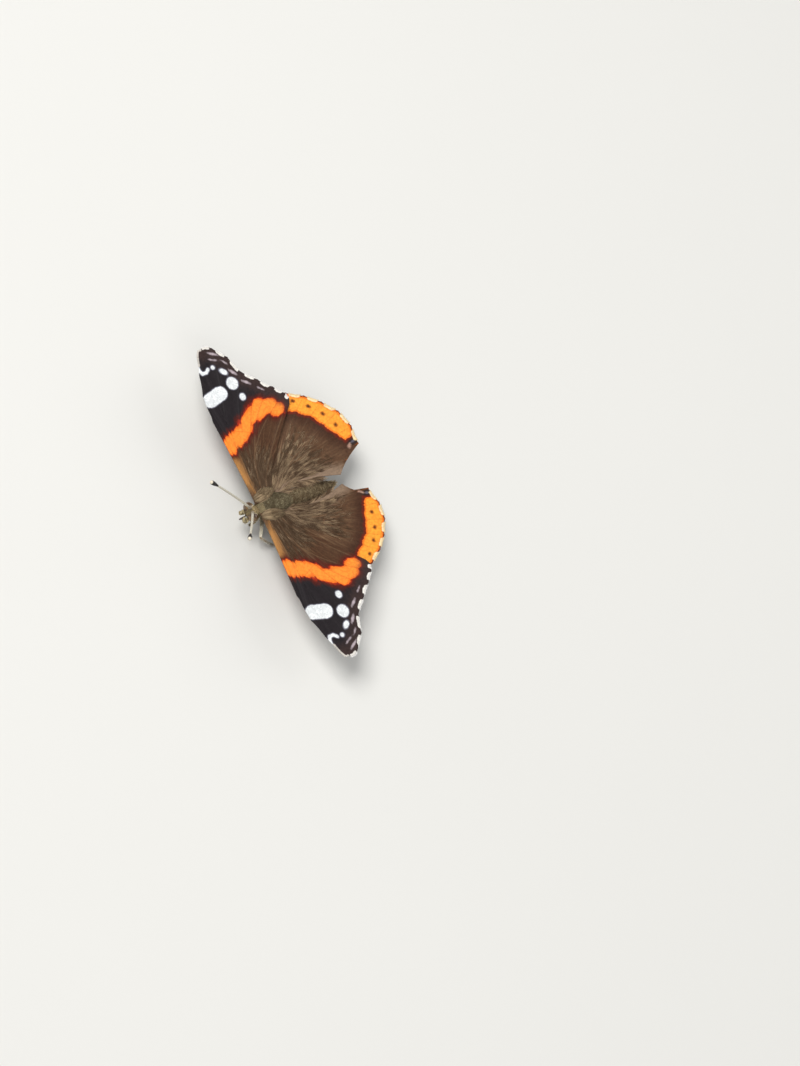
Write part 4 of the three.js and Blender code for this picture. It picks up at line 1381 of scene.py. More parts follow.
# %% Coats of the body
COATS = {
    "thorax_hair": {
        "seed": 3, "hairs": 12000, "tufts": 650, "from": THORAX["front"] + 0.1, "to": THORAX["back"] + 0.3,
        "length": 1.7, "width": 0.065, "rise": 0.4, "sag": 0.24, "jitter": 0.2, "spread": 0.7,
        "pale": thorax_pale, "finish": body_hair_finish},
    "abdomen_hair": {
        "seed": 5, "hairs": 12000, "tufts": 800, "from": THORAX["back"] - 0.2, "to": TAIL - 0.25,
        "length": 1.25, "width": 0.062, "rise": 0.4, "sag": 0.26, "jitter": 0.25, "spread": 0.4,
        "pale": abdomen_pale, "finish": abdomen_hair_finish},
    "collar_hair": {
        "seed": 9, "hairs": 2600, "tufts": 150, "from": NECK["y"] - 0.35, "to": THORAX["front"] + 1.2,
        "length": 1.1, "width": 0.065, "rise": 0.6, "sag": 0.35, "jitter": 0.3, "spread": 0.4,
        "pale": collar_pale, "finish": collar_hair_finish},
    "head_hair": {
        "seed": 7, "hairs": 5500, "tufts": 200, "from": FACE + 0.06, "to": NECK["y"],
        "length": 0.7, "width": 0.045, "rise": 0.45, "sag": 0.12, "jitter": 0.3, "spread": 0.0,
        "pale": head_pale, "finish": collar_hair_finish},
}
ROOT_DEPTH = 0.05  # the roots lie this deep in the skin


def body_coat(name, hair):
    """Hair combed backwards, and outwards by the spread, over a stretch of the body."""
    rng = np.random.default_rng(hair["seed"])
    y, turn = scatter(rng, hair["hairs"], hair["from"], hair["to"])
    count = len(y)
    roots, away = skin_point(y, turn), skin_away(y, turn)
    back = BACKWARDS + rng.normal(0, hair["jitter"], roots.shape)
    back[:, 0] += hair["spread"] * np.sin(turn)
    lengths = hair["length"] * rng.uniform(0.7, 1.25, count)
    widths = hair["width"] * rng.uniform(0.8, 1.2, count)
    pale = hair["pale"](y, turn) + rng.normal(0, 0.2, count)
    lie, pale = in_tufts(rng, roots, combed(back, away), lengths, pale, hair["tufts"])
    coat(name, rng, roots - away * ROOT_DEPTH, lie, away, lengths, widths, hair["rise"], hair["sag"],
         skin_place(y, turn), pale, hair["finish"])


for coat_name, coat_settings in COATS.items():
    body_coat(coat_name, coat_settings)

# %% [markdown]
# ## Shoulders
# Where the wings of a side leave the thorax, a low dome of hair hides both roots. The skin of the body
# doesn't reach out there, so these hairs are rooted on a shallow dome of their own. They are combed
# backwards, and further outwards the nearer they are to the hindwing.

# %% Shoulder tufts
SHOULDER = {"centre": (1.8, -1.2, 1.42), "half": (1.1, 1.85, 0.42), "bulge": (0.6, 0.4), "hairs": 3400,
            "tufts": 190, "length": (1.2, 2.3), "width": 0.07, "rise": 0.3, "sag": 0.3}


def make_shoulder(side):
    """A low dome of hair over the roots of both wings of a side."""
    rng = np.random.default_rng(13)
    sign, count = SIDES[side], SHOULDER["hairs"]
    reach = np.sqrt(rng.uniform(0, 1, count))
    turn = rng.uniform(0, 2 * np.pi, count)
    dome = np.stack([reach * np.cos(turn), reach * np.sin(turn), 1 - reach ** 2], axis=1)
    roots = (np.array(SHOULDER["centre"]) + dome * SHOULDER["half"]) * (sign, 1, 1)
    bulge_out, bulge_back = SHOULDER["bulge"]
    tilt_out, tilt_back = bulge_out * dome[:, 0] * sign, bulge_back * dome[:, 1]
    away = unit(np.stack([tilt_out, tilt_back, np.ones_like(reach)], axis=1))
    back = BACKWARDS + rng.normal(0, 0.12, roots.shape)
    back[:, 0] += sign * lerp(0.2, 1.0, smooth_step(-3.0, 0.5, roots[:, 1]))
    lengths = rng.uniform(*SHOULDER["length"], count)
    pale = rng.uniform(-0.1, 0.6, count)
    lie, pale = in_tufts(rng, roots, combed(back, away), lengths, pale, SHOULDER["tufts"])
    coat(f"shoulder_hair_{side}", rng, roots, lie, away, lengths, np.full(count, SHOULDER["width"]),
         SHOULDER["rise"], SHOULDER["sag"], on_map(rng.uniform(0, 1, (count, 2))), pale,
         shoulder_hair_finish)


for side in SIDES:
    make_shoulder(side)

# %% [markdown]
# ## Long hair on the wing roots
# Long silky hairs spread from the thorax over the roots of all four wings and down the inner part of the
# hindwings. They are combed outwards along the veins, and thin out and get shorter away from the body.
# More hairs stand along the inner edge of each hindwing and lean over the abdomen. Each root is looked up
# on the wing sheet that it grows from, so the hair lies on the wing and doesn't float.

# %% Hair on the wings
WING_HAIR = {  # spaces: from which vein to which. inner: hairs on the inner edge, and how far down they go
    "fore": {"seed": 17, "hairs": 2000, "tufts": 180, "reach": 12.0, "spaces": (3.0, 13.0), "length": 2.6,
             "darker": 0.35, "inner": 0, "inner_to": {"left": 1.0, "right": 1.0}},
    "hind": {"seed": 19, "hairs": 4200, "tufts": 380, "reach": 18.0, "spaces": (4.0, 9.4), "length": 3.2,
             "darker": 0.0, "inner": 900, "inner_to": {"left": 0.8, "right": 0.66}},
}
ON_WING = {"width": 0.052, "above": 0.08, "rise": 0.1, "sag": 0.07, "pull": 0.85, "shorter_over": 16.0}
wing_hair_finish = hair_finish("silky_brown_hair", "#664f3a", "#c8ab88")


def hair_places(rng, which, side):
    """Rows and columns of the wing grid at which the hairs stand: over the wing, and along the inner edge."""
    hair, (grid, _) = WING_HAIR[which], wings[which, side]
    radius = np.linalg.norm(grid["place"], axis=-1)
    low, high = hair["spaces"]
    near = np.maximum(smooth_step(hair["reach"], 0, radius) ** 1.3 - 0.04, 0)
    wanted = near * ((grid["order"] >= low) & (grid["order"] <= high))
    wanted[:, 1:] *= np.linalg.norm(np.diff(grid["place"], axis=1), axis=-1)
    wanted[[0, -2, -1]] = 0
    wanted[:, 0] = 0
    rows, columns = wanted.shape
    picks = rng.choice(wanted.size, hair["hairs"], p=(wanted / wanted.sum()).ravel())
    along_edge = rng.uniform(0, 1, hair["inner"]) ** 1.2
    edge_rows = (lerp(0.02, hair["inner_to"][side], along_edge) * rows).astype(int)
    row = np.concatenate([picks // columns, edge_rows])
    column = np.concatenate([picks % columns, np.full(hair["inner"], columns - 1)])
    return row, column, np.stack([row / rows, column / columns], axis=1), column == columns - 1


def make_wing_hair(which, side):
    hair, (grid, sheet) = WING_HAIR[which], wings[which, side]
    rng = np.random.default_rng(hair["seed"])
    row, column, places, inner = hair_places(rng, which, side)
    count = len(row)
    radius = np.linalg.norm(grid["place"][row, column], axis=-1)
    jitter = rng.normal(0, 1, (count, 3))
    roots = sheet[row, column] + jitter * [0.05, 0.05, 0] + [0, 0, ON_WING["above"]]
    lie = unit(sheet[row + 1, column] - sheet[row, column]) + jitter * [0.12, 0.12, 0.04]
    lie[inner, 0] -= np.sign(roots[inner, 0]) * rng.uniform(0.2, 0.9, inner.sum())
    shorter = np.clip(1.2 - radius / ON_WING["shorter_over"], 0.25, 1)
    lengths = hair["length"] * rng.uniform(0.6, 1.2, count) * shorter
    pale = rng.uniform(-0.3, 0.9, count) + 0.15 * inner - 0.4 * radius / hair["reach"] - hair["darker"]
    lie, pale = in_tufts(rng, roots, lie, lengths, pale, hair["tufts"], ON_WING["pull"])
    away = np.tile((0.0, 0.0, 1.0), (count, 1))
    widths = ON_WING["width"] * rng.uniform(0.8, 1.2, count)
    coat(f"{which}wing_hair_{side}", rng, roots, lie, away, lengths, widths, ON_WING["rise"], ON_WING["sag"],
         on_map(places), pale, wing_hair_finish)


for which, side in wings:
    make_wing_hair(which, side)

# %% [markdown]
# ## Tubes with joints
# Feelers, legs, palps and tongue are all tapering tubes along a bent path, with rings, joints or spines.
# One helper sweeps a circle along a path. It carries the same two cross directions along from point to
# point, so the tube never twists, and closes both ends.

# %% Swept tubes
CORNER_CUT = 0.2  # share of a straight run that is cut off at each of its ends, twice over


def along_path(joints, steps):
    """Evenly spaced points on a path through joints, its corners rounded a little."""
    path = np.array(joints, float)
    for _ in range(2):
        cut = [path[0]]
        for a, b in zip(path[:-1], path[1:]):
            cut += [lerp(a, b, CORNER_CUT), lerp(a, b, 1 - CORNER_CUT)]
        path = np.array(cut + [path[-1]])
    run = np.concatenate([[0], np.cumsum(np.linalg.norm(np.diff(path, axis=0), axis=1))])
    at = np.linspace(0, 1, steps + 1) * run[-1]
    return np.stack([np.interp(at, run, path[:, k]) for k in range(3)], axis=1)


def swept(path, radii, sides=12):
    """A closed tube: points, faces, and the ring number of each point."""
    way = unit(np.gradient(path, axis=0))
    across = unit(np.cross(way[0], (0.0, 0.3, 1.0)))
    rings = []
    for centre, heading, radius in zip(path, way, radii):
        across = unit(across - heading * (across @ heading))
        other = np.cross(heading, across)
        turns = np.linspace(0, 2 * np.pi, sides, endpoint=False)[:, None]
        rings.append(centre + radius * (np.cos(turns) * across + np.sin(turns) * other))
    points = np.vstack(rings + [path[:1], path[-1:]])
    faces = tube_faces(len(path), sides)
    first, end, last = len(points) - 2, len(points) - 1, (len(path) - 1) * sides
    for k in range(sides):
        faces.append([first, (k + 1) % sides, k])
        faces.append([end, last + k, last + (k + 1) % sides])
    numbers = np.concatenate([np.repeat(np.arange(len(path)), sides), [0, len(path) - 1]])
    return points, faces, numbers


def out_of_tube(rng, path, at):
    """The way along a tube, and a direction straight out of it, at numbered points of its path."""
    heading = unit(np.gradient(path, axis=0))[at]
    return heading, unit(np.cross(heading, unit(rng.normal(0, 1, (len(at), 3)))))


def joined(parts):
    """Several sets of points, faces and values as one."""
    points, faces, values, start = [], [], [], 0
    for some_points, some_faces, some_values in parts:
        points.append(some_points)
        faces += [[p + start for p in face] for face in some_faces]
        values.append(some_values)
        start += len(some_points)
    return np.vstack(points), faces, np.concatenate(values)


# %% [markdown]
# ## Feelers
# Each feeler has about forty short segments and ends in a black club with a pale tip. White scales ring
# every segment, so from a step away the slim shaft looks pale against the club. The rings are part of the
# material, which reads the distance along the feeler, and each segment swells slightly in the mesh.

# %% Sizes and finish of the feelers
FEELER = {"length": 14.5, "shaft": 0.22, "club": 0.44, "club_length": 2.5, "segment": 0.36, "swell": 0.04,
          "pale_tip": 0.28, "brown_root": 1.6, "sunk": 0.5}  # sunk: how far the root is hidden in the head
FEELER_POSE = {"left": (41.0, 45.3), "right": (27.2, 42.6)}  # degrees outwards and upwards
FEELER_ROOT = (0.5, 0.95, 1.5)  # outwards, behind the face, above the axis of the head
FEELER_STEPS = 240
TIP_ROUNDING = (0.95, 0.85, 0.7, 0.5, 0.2)  # of the last rings


def feeler_finish():
    """Black chitin under rings of white scales."""
    material, tree, shader = new_finish("ringed_feeler_scales", 0.5, CHITIN_IOR)
    run = node(tree, "ShaderNodeAttribute", attribute_name="run").outputs["Fac"]
    segments = node(tree, "ShaderNodeMath", {0: run, 1: 1 / FEELER["segment"]}, operation="MULTIPLY")
    within = node(tree, "ShaderNodeMath", {0: segments.outputs[0]}, operation="FRACT").outputs[0]
    place = node(tree, "ShaderNodeTexCoord").outputs["Object"]
    fleck = node(tree, "ShaderNodeTexNoise", {"Vector": place, "Scale": 1 / (0.12 * MM)}).outputs["Fac"]
    frayed = node(tree, "ShaderNodeMath", {0: fleck, 1: 0.3, 2: within}, operation="MULTIPLY_ADD").outputs[0]
    colour = laid_over(tree, frayed, 0.36, 0.46, linear("#4c4439"), linear("#ddd6c2"))
    club_from = FEELER["length"] - FEELER["club_length"]
    colour = laid_over(tree, run, club_from - 0.2, club_from + 0.3, colour, linear("#15110f"))
    tip_from = FEELER["length"] - FEELER["pale_tip"]
    colour = laid_over(tree, run, tip_from - 0.1, tip_from + 0.1, colour, linear("#e6dac2"))
    colour = laid_over(tree, run, FEELER["brown_root"], 0.3, colour, linear("#6b5840"), 0.0, 0.7)
    set_surface(tree, shader, colour, fleck, strength=0.3, depth=0.02)
    return material


feeler_material = feeler_finish()

# %% Two feelers


def make_feeler(side):
    sign = SIDES[side]
    outward, raised = (math.radians(angle) for angle in FEELER_POSE[side])
    base = np.array([sign * FEELER_ROOT[0], FACE + FEELER_ROOT[1], HEAD["rise"] + FEELER_ROOT[2]])
    heading = np.array([
        sign * math.sin(outward) * math.cos(raised), -math.cos(outward) * math.cos(raised), math.sin(raised)])
    root = base - heading * FEELER["sunk"] * (0.6, 0.2, 1.0)
    tip = base + heading * (FEELER["length"] - 0.1)
    middle = base + heading * FEELER["length"] / 2 + (0.0, 0.1, 0.35)
    along = np.linspace(0, 1, FEELER_STEPS + 1)
    path = bezier(root, middle, tip)(along)
    run = along * (FEELER["length"] + FEELER["sunk"]) - FEELER["sunk"]
    in_club = np.clip((run - FEELER["length"] + FEELER["club_length"]) / FEELER["club_length"], 0, 1)
    swell = np.sin(np.pi * in_club ** 1.6 * 0.88) ** 0.8
    segment = 1 + FEELER["swell"] * np.sin(2 * np.pi * run / FEELER["segment"])
    socket = 1 + 0.5 * np.exp(-(run / 0.35) ** 2)
    radii = (lerp(FEELER["shaft"] * 1.05, FEELER["shaft"] * 0.85, along) * socket
             + (FEELER["club"] - FEELER["shaft"]) * swell) * segment
    radii[-len(TIP_ROUNDING):] *= TIP_ROUNDING
    points, faces, numbers = swept(path, radii)
    make_piece(f"feeler_{side}", points, faces, [feeler_material], [f"antenna_{side}"],
               {"run": run[numbers]})


for side in SIDES:
    make_feeler(side)

# %% [markdown]
# ## Eyes
# The compound eyes are large brown domes on the sides of the head, made of thousands of six-sided lenses.
# The dome is a plain ellipsoid of points, and a cell pattern gives the facets in relief. Real facets are
# a fortieth of a millimetre, so these are drawn about four times coarser. The cornea is smooth and
# glossy.

# %% Finish of the eyes
EYE = {"behind_face": 1.08, "rise": 0.1, "out": 0.98, "half": (1.02, 0.98, 1.04)}
EYE_RINGS = 28
EYE_SIDES = 48
FACET = {"across": 0.11, "depth": 0.03}
EYE_BAND = 0.9  # millimetres across the soft bands of pigment


def eye_finish():
    """Cornea over brown pigment in soft bands: glossy, with darker rims between the lenses."""
    material, tree, shader = new_finish("compound_eye_cornea", 0.16, Coat_Weight=0.6, Coat_Roughness=0.08)
    place = node(tree, "ShaderNodeTexCoord").outputs["Object"]
    cells = node(tree, "ShaderNodeTexVoronoi",
                 {"Vector": place, "Scale": 1 / (FACET["across"] * MM), "Randomness": 0.25})
    lenses = cells.outputs["Distance"]
    bands = node(tree, "ShaderNodeTexNoise",
                 {"Vector": place, "Scale": 1 / (EYE_BAND * MM), "Detail": 2.0}).outputs["Fac"]
    pigment = laid_over(tree, bands, 0.4, 0.62, linear("#5f4630"), linear("#98794f"))
    colour = laid_over(tree, lenses, 0.35, 0.7, pigment, linear("#3e2b1b"))
    set_surface(tree, shader, colour, lenses, 0.35, FACET["depth"], invert=True)
    return material


eye_material = eye_finish()

# %% Cornea of each eye


def eye_centre(side):
    return np.array([SIDES[side] * EYE["out"], FACE + EYE["behind_face"], HEAD["rise"] + EYE["rise"]])


def make_eye(side):
    sign = SIDES[side]
    turns = np.linspace(0, np.pi, EYE_RINGS + 1)
    around = np.linspace(0, 2 * np.pi, EYE_SIDES, endpoint=False)
    turn, about = np.meshgrid(turns, around, indexing="ij")
    radius = np.maximum(np.sin(turn), 0.01)
    ball = np.stack([sign * np.cos(turn), radius * np.cos(about), radius * np.sin(about)], axis=-1)
    points = eye_centre(side) + ball.reshape(-1, 3) * EYE["half"]
    faces = tube_faces(EYE_RINGS + 1, EYE_SIDES)
    if sign < 0:
        faces = [[a, d, c, b] for a, b, c, d in faces]
    make_piece(f"eye_cornea_{side}", points, faces, [eye_material], [f"eye_{side}"])


# %% [markdown]
# ## Rims of the eyes
# A narrow crescent of cream scales runs behind each eye, where it meets the head. The scales stand in a
# band on the eye's own ball, so they follow its curve, and the band swings inwards over the top.

# %% Rim scales
EYE_RIM = {"scales": 750, "turns": (-2.2, 1.9), "out": (-0.14, 0.0), "inwards": 0.34,
           "length": (0.14, 0.26), "width": 0.05, "rise": 0.25, "sag": 0.1}  # turns: radians up from the rear
eye_rim_finish = hair_finish("cream_eye_rim_scales", "#94805a", "#e8d9b4")


def make_eye_rim(side):
    """A narrow rim of cream scales round the back of the eye, where it meets the head."""
    sign = SIDES[side]
    rng = np.random.default_rng(37)
    count = EYE_RIM["scales"]
    share, across = rng.uniform(0, 1, (2, count))
    turn = lerp(*EYE_RIM["turns"], share)
    out = lerp(*EYE_RIM["out"], across) - EYE_RIM["inwards"] * smooth_step(0.5, 1.6, turn)
    ring = np.sqrt(1 - out ** 2)
    ball = np.stack([sign * out, ring * np.cos(turn), ring * np.sin(turn)], axis=1)
    roots = eye_centre(side) + ball * EYE["half"]
    away = unit(ball / EYE["half"])
    lie = combed(np.array([sign * 1.0, 0.5, 0.0]) + rng.normal(0, 0.15, ball.shape), away)
    lengths = rng.uniform(*EYE_RIM["length"], count) * lerp(1.0, 0.6, smooth_step(0.7, 1.0, share))
    places = on_map(np.stack([share, across], axis=1))
    coat(f"eye_rim_scales_{side}", rng, roots, lie, away, lengths, np.full(count, EYE_RIM["width"]),
         EYE_RIM["rise"], EYE_RIM["sag"], places, rng.uniform(0.2, 0.9, count), eye_rim_finish)


for side in SIDES:
    make_eye(side)
    make_eye_rim(side)

# %% [markdown]
# ## Palps and tongue
# Two furry palps reach up in front of the face like a short snout, straw-brown in front. The tongue lies
# coiled between them like a watch spring and is finely ringed. The palps are bent tubes with a coat of
# short scales combed towards the tip, and the tongue is a tube along a spiral.

# %% Palps
PALP_JOINTS = [(0.5, 1.1, -1.15), (0.8, 0.45, -1.65), (0.85, 0.1, -1.55), (0.74, -0.36, -0.85),
               (0.52, -0.62, 0.4)]  # outwards, behind the face, above the axis of the head
PALP = {"radius": 0.24, "steps": 40, "hairs": 2600, "tufts": 170, "length": (0.35, 0.75), "width": 0.05,
        "rise": (0.5, 0.1), "sag": (0.35, 0.2), "pull": 0.5}  # rise and sag: at the root and at the tip
SEATED = 0.9  # hairs are rooted a little inside a tube
palp_hair_finish = hair_finish("straw_palp_scales", "#93805a", "#e6d6ac")


def make_palp(side):
    sign = SIDES[side]
    rng = np.random.default_rng(23)
    joints = [(sign * x, FACE + y, HEAD["rise"] + z) for x, y, z in PALP_JOINTS]
    path = along_path(joints, PALP["steps"])
    along = np.linspace(0, 1, len(path))
    radii = PALP["radius"] * (0.7 + 0.6 * np.sin(np.pi * along ** 0.8)) * np.sqrt(1 - 0.96 * along ** 3.5)
    points, faces, _ = swept(path, radii)
    finish = chitin(f"palp_chitin_{side}", "#7d6844", "#a8925f")
    make_piece(f"palp_{side}", points, faces, [finish], [f"palp_{side}"])
    count = PALP["hairs"]
    at = rng.uniform(1, len(path) - 2, count).astype(int)
    heading, away = out_of_tube(rng, path, at)
    roots = path[at] + away * radii[at][:, None] * SEATED
    heading = heading + away * (np.gradient(radii) / np.linalg.norm(path[1] - path[0]))[at][:, None]
    lengths = rng.uniform(*PALP["length"], count)
    near_tip = (at / len(path)) ** 2
    places = on_map(np.stack([at / len(path), rng.uniform(0, 1, count)], axis=1))
    front = np.clip(0.6 - 0.5 * away[:, 1], 0, 1) + rng.normal(0, 0.25, count)
    heading, front = in_tufts(rng, roots, heading, lengths, front, PALP["tufts"], PALP["pull"])
    rise, sag = lerp(*PALP["rise"], near_tip), lerp(*PALP["sag"], near_tip)
    coat(f"palp_hair_{side}", rng, roots, heading, away, lengths, np.full(count, PALP["width"]), rise, sag,
         places, front, palp_hair_finish)


for side in SIDES:
    make_palp(side)

# %% The tongue
TONGUE = {"coil": 0.62, "pitch": 0.95, "radius": 0.11, "turns": 1.35, "squash": (0.8, 0.55), "ring": 0.1,
          "mouth": (0.75, -1.1), "centre": (0.3, -2.35)}  # behind the face, above the axis of the head
TONGUE_STEPS = 200


def tongue_finish():
    """Brown flexible cuticle with fine rings, which let it coil."""
    material, tree, shader = new_finish("ringed_tongue_cuticle", 0.32)
    run = node(tree, "ShaderNodeAttribute", attribute_name="run").outputs["Fac"]
    turns = node(tree, "ShaderNodeMath", {0: run, 1: 2 * math.pi / TONGUE["ring"]}, operation="MULTIPLY")
    wave = node(tree, "ShaderNodeMath", {0: turns.outputs[0]}, operation="SINE").outputs[0]
    colour = laid_over(tree, wave, -1, 1, linear("#2e1b10"), linear("#5e3d24"))
    set_surface(tree, shader, colour, wave, strength=0.3, depth=0.015)
    return material


def make_tongue():
    turn = np.linspace(0, 1, TONGUE_STEPS + 1)
    angle = np.pi * 0.5 + 2 * np.pi * TONGUE["turns"] * turn
    reach = TONGUE["coil"] * 2 - TONGUE["pitch"] * TONGUE["turns"] * turn
    spiral = np.stack([np.cos(angle), np.sin(angle)], axis=1) * reach[:, None] * TONGUE["squash"]
    places = np.vstack([[TONGUE["mouth"]], spiral + TONGUE["centre"]]) + (FACE, HEAD["rise"])
    path = np.pad(places, ((0, 0), (1, 0)))
    run = np.concatenate([[0], np.cumsum(np.linalg.norm(np.diff(path, axis=0), axis=1))])
    radii = TONGUE["radius"] * lerp(1.15, 0.55, run / run[-1])
    points, faces, numbers = swept(path, radii)
    make_piece("tongue", points, faces, [tongue_finish()], ["proboscis"], {"run": run[numbers]})


make_tongue()

# %% [markdown]
# ## Legs
# A red admiral walks on four legs. The two front ones are small furry brushes folded under the breast.
# Each walking leg has a stout femur clad in pale scales, whitened towards the knee by painted sunlight, a
# spiny tibia and a foot of five short segments with two claws. Each segment is its own tapering tube, a
# little waisted at the joints.

# %% Leg sizes
SOLE = 0.13 - BODY_HEIGHT  # middle of a foot above the floor, less the body's height
LEGS = {  # hip, trochanter, knee, shin, ankle, foot and claw, outwards being positive
    ("midleg", "left"): [(0.9, -0.9, -1.9), (1.4, -1.2, -3.05), (4.6, -3.4, -2.3), (5.5, -2.0, -3.7),
        (6.3, -0.4, SOLE + 0.1), (7.1, 0.7, SOLE), (8.4, 2.15, SOLE)],
    ("midleg", "right"): [(0.9, -0.7, -1.9), (1.4, -0.8, -3.05), (4.9, -0.5, -2.0), (6.0, 0.4, -3.5),
        (6.9, 1.2, SOLE + 0.1), (7.9, 1.9, SOLE), (9.5, 2.85, SOLE)],
    ("hindleg", "left"): [(0.9, 1.7, -1.9), (1.4, 2.3, -3.05), (4.7, 5.4, -2.0), (5.1, 6.6, -3.5),
        (5.4, 7.8, SOLE + 0.1), (5.8, 9.1, SOLE), (6.35, 10.8, SOLE)],
    ("hindleg", "right"): [(0.9, 1.7, -1.9), (1.3, 2.4, -3.05), (4.3, 5.7, -2.1), (4.8, 6.9, -3.5),
        (5.1, 8.0, SOLE + 0.1), (5.4, 9.3, SOLE), (5.75, 11.1, SOLE)],
}
FORELEG = [(0.7, -2.0, -1.7), (1.3, -3.0, -2.9), (1.5, -4.1, -2.8), (1.45, -3.9, -2.25)]
LEG_RADIUS = {"coxa": 0.45, "hip": 0.4, "femur": 0.36, "knee": 0.2, "tibia": 0.2, "ankle": 0.15,
              "foot": 0.125, "claw": 0.09}
LEG_STEPS = {"coxa": 10, "femur": 24, "tibia": 24, "foot": 40}
CLAW_RADII = np.array([0.05, 0.05, 0.045, 0.04, 0.03, 0.02, 0.008])
FOOT_SEGMENTS = (0.42, 0.2, 0.15, 0.11, 0.12)  # shares of the foot's length
FLOOR_CLEARANCE = 0.42  # no hair of a leg grows lower than this
LEG_SEATED = 0.93  # how near the surface of a walking leg its hairs are rooted
leg_chitin = chitin("tan_leg_chitin", "#6e5436", "#a9875a", 0.42)
# The light tone is whitened beyond the cream of the scales: painted sunlight, which shows most on the femur
# near the knee
leg_hair_finish = hair_finish("cream_leg_scales_with_painted_sunlight", "#7d684a", "#f6eed8")

# %% Segments of a leg


def limb(path, start_radius, end_radius, waist=0.15):
    """One leg segment: a tapering tube, waisted at both ends."""
    along = np.linspace(0, 1, len(path))
    belly = 1 - waist * (2 * along - 1) ** 4 * 1.6
    radii = lerp(start_radius, end_radius, along) * belly
    radii[0] *= 0.6
    radii[-1] *= 0.6
    return swept(path, radii, 14)


def foot_parts(path):
    """The five short segments of a foot and its two claws, lying on the floor."""
    ends = np.concatenate([[0], np.cumsum(FOOT_SEGMENTS)]) * (len(path) - 1)
    parts = []
    for k in range(len(FOOT_SEGMENTS)):
        piece = path[int(round(ends[k])):int(round(ends[k + 1])) + 1]
        start = lerp(LEG_RADIUS["foot"], LEG_RADIUS["claw"], k / 5)
        parts.append(limb(piece, start, start * 1.08, 0.25))
    heading = unit(path[-1] - path[-3])
    across = np.cross(heading, (0.0, 0.0, 1.0))
    for spread in (-0.12, 0.12):
        hook = np.array([
            path[-1] - heading * 0.05,
            path[-1] + heading * 0.14 + across * spread + (0, 0, 0.05),
            path[-1] + heading * 0.24 + across * spread * 1.3 - (0, 0, 0.06),
        ])
        parts.append(swept(along_path(hook, len(CLAW_RADII) - 1), CLAW_RADII, 8))
    return parts


# %% [markdown]
# ## Walking legs and what covers them
# All tubes of a leg are joined in one piece, which stands for the leg's solid. The scales and spines are
# blades again: longer hair on the coxa, flat scales all over the femur that turn cream towards the knee,
# with painted shade near the body and painted sunlight at the knee, and short spines down the tibia. None
# grows near the floor, where it would be crushed.

# %% Walking legs


def make_leg(kind, side):
    sign = SIDES[side]
    rng = np.random.default_rng(29)
    joints = np.array(LEGS[kind, side]) * (sign, 1, 1)
    hip, trochanter, knee, shin, ankle, foot, claw = joints
    femur = along_path([trochanter, lerp(trochanter, knee, 0.5) + (0, 0, 0.12), knee], LEG_STEPS["femur"])
    tibia = along_path([knee, shin, ankle], LEG_STEPS["tibia"])
    tarsus = along_path([ankle, foot, claw], LEG_STEPS["foot"])
    tarsus[:, 2] = np.maximum(tarsus[:, 2], SOLE)
    coxa = along_path([hip, lerp(hip, trochanter, 0.6), trochanter], LEG_STEPS["coxa"])
    parts = [
        limb(coxa, LEG_RADIUS["coxa"], LEG_RADIUS["hip"], 0.3),
        limb(femur, LEG_RADIUS["femur"], LEG_RADIUS["knee"]),
        limb(tibia, LEG_RADIUS["tibia"], LEG_RADIUS["ankle"]),
        *foot_parts(tarsus),
    ]
    points, faces, _ = joined(parts)
    points[:, 2] = np.maximum(points[:, 2], -BODY_HEIGHT)
    make_piece(f"{kind}_chitin_{side}", points, faces, [leg_chitin], [f"{kind}_{side}"])
    dress_leg(f"{kind}_scales_{side}", rng, coxa, femur, tibia)


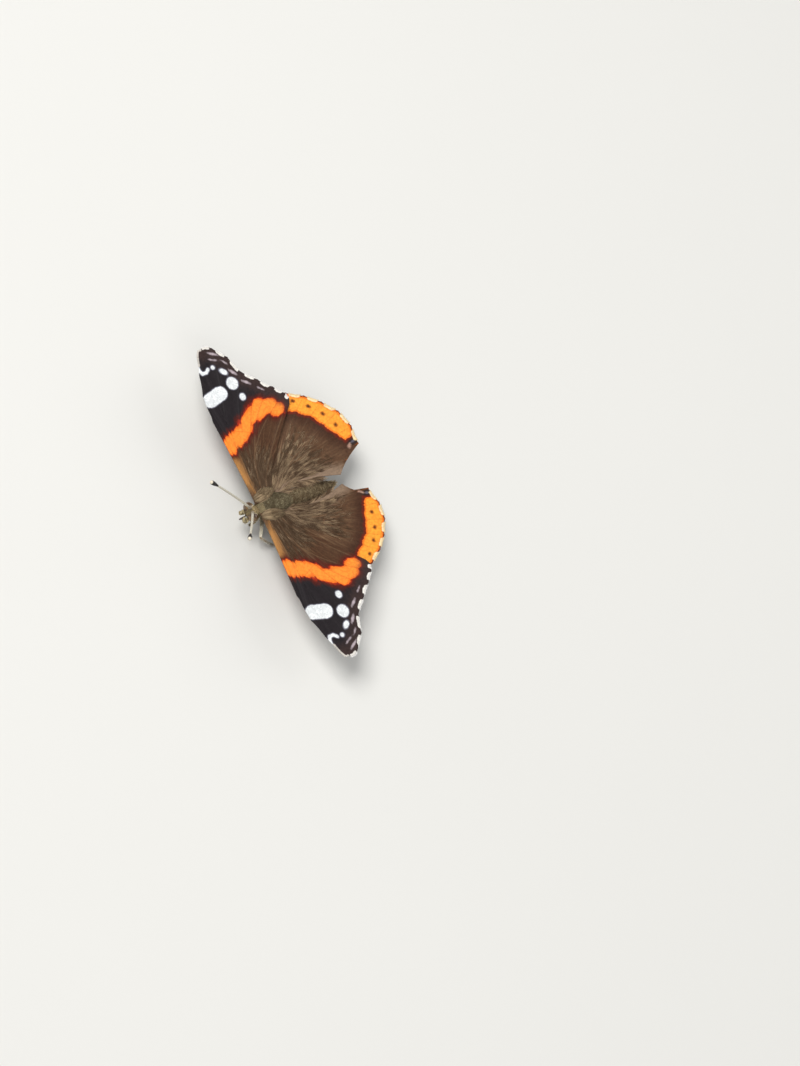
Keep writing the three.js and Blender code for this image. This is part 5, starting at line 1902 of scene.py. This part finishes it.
def dress_leg(name, rng, coxa, femur, tibia):
    """Hair on the coxa, flat scales all over the femur, with painted shade near the body and cream with
    painted sunlight towards the knee, and spines down the tibia.
    """
    segments = (  # path, hairs, length, width, rise, radii at both ends, and how pale it is at both ends
        (coxa, 700, 0.5, 0.07, 0.35, (LEG_RADIUS["coxa"], LEG_RADIUS["hip"]), (0.0, 0.2)),
        # Femur: darker near the body with painted shade under the wing, and past full paleness at the knee
        # with painted sunlight on cream scales
        (femur, 2300, 0.24, 0.075, 0.3, (LEG_RADIUS["femur"], LEG_RADIUS["knee"]), (0.2, 1.3)),
        (tibia, 450, 0.3, 0.04, 0.8, (LEG_RADIUS["tibia"], LEG_RADIUS["ankle"]), (0.7, 0.3)),
    )
    hairs = []
    for path, count, length, width, rise, radii, pales in segments:
        at = rng.integers(0, len(path) - 2, count)
        share = at / (len(path) - 1)
        heading, away = out_of_tube(rng, path, at)
        spot = lerp(path[at], path[at + 1], rng.uniform(0, 1, count)[:, None])
        root = spot + away * (lerp(*radii, share) * LEG_SEATED)[:, None]
        lengths = length * rng.uniform(0.7, 1.2, count)
        pale = lerp(*pales, smooth_step(0.1, 0.8, share))
        hairs.append((root, heading, away, lengths, np.full(count, width), np.full(count, rise), pale))
    hairs = [np.concatenate(values) for values in zip(*hairs)]
    clear = hairs[0][:, 2] > FLOOR_CLEARANCE - BODY_HEIGHT
    roots, lie, away, lengths, widths, rise, pale = (values[clear] for values in hairs)
    places = on_map(rng.uniform(0, 1, (len(roots), 2)))
    coat(name, rng, roots, lie, away, lengths, widths, rise, 0.1, places, pale, leg_hair_finish)


# %% Forelegs
BRUSH = {"radii": (0.24, 0.12), "steps": 40, "hairs": 700, "length": (0.3, 0.55), "width": 0.06, "rise": 0.45,
         "sag": 0.2, "pale": 0.35}


def make_foreleg(side):
    rng = np.random.default_rng(31)
    path = along_path(np.array(FORELEG) * (SIDES[side], 1, 1), BRUSH["steps"])
    radii = lerp(*BRUSH["radii"], np.linspace(0, 1, len(path)))
    points, faces, _ = swept(path, radii)
    make_piece(f"foreleg_chitin_{side}", points, faces, [leg_chitin], [f"foreleg_{side}"])
    count = BRUSH["hairs"]
    at = rng.uniform(1, len(path) - 2, count).astype(int)
    heading, away = out_of_tube(rng, path, at)
    roots = path[at] + away * radii[at][:, None] * SEATED
    places = on_map(rng.uniform(0, 1, (count, 2)))
    lengths = rng.uniform(*BRUSH["length"], count)
    coat(f"foreleg_brush_{side}", rng, roots, heading, away, lengths, np.full(count, BRUSH["width"]),
         BRUSH["rise"], BRUSH["sag"], places, np.full(count, BRUSH["pale"]), palp_hair_finish)


for side in SIDES:
    make_foreleg(side)
    for kind in ("midleg", "hindleg"):
        make_leg(kind, side)
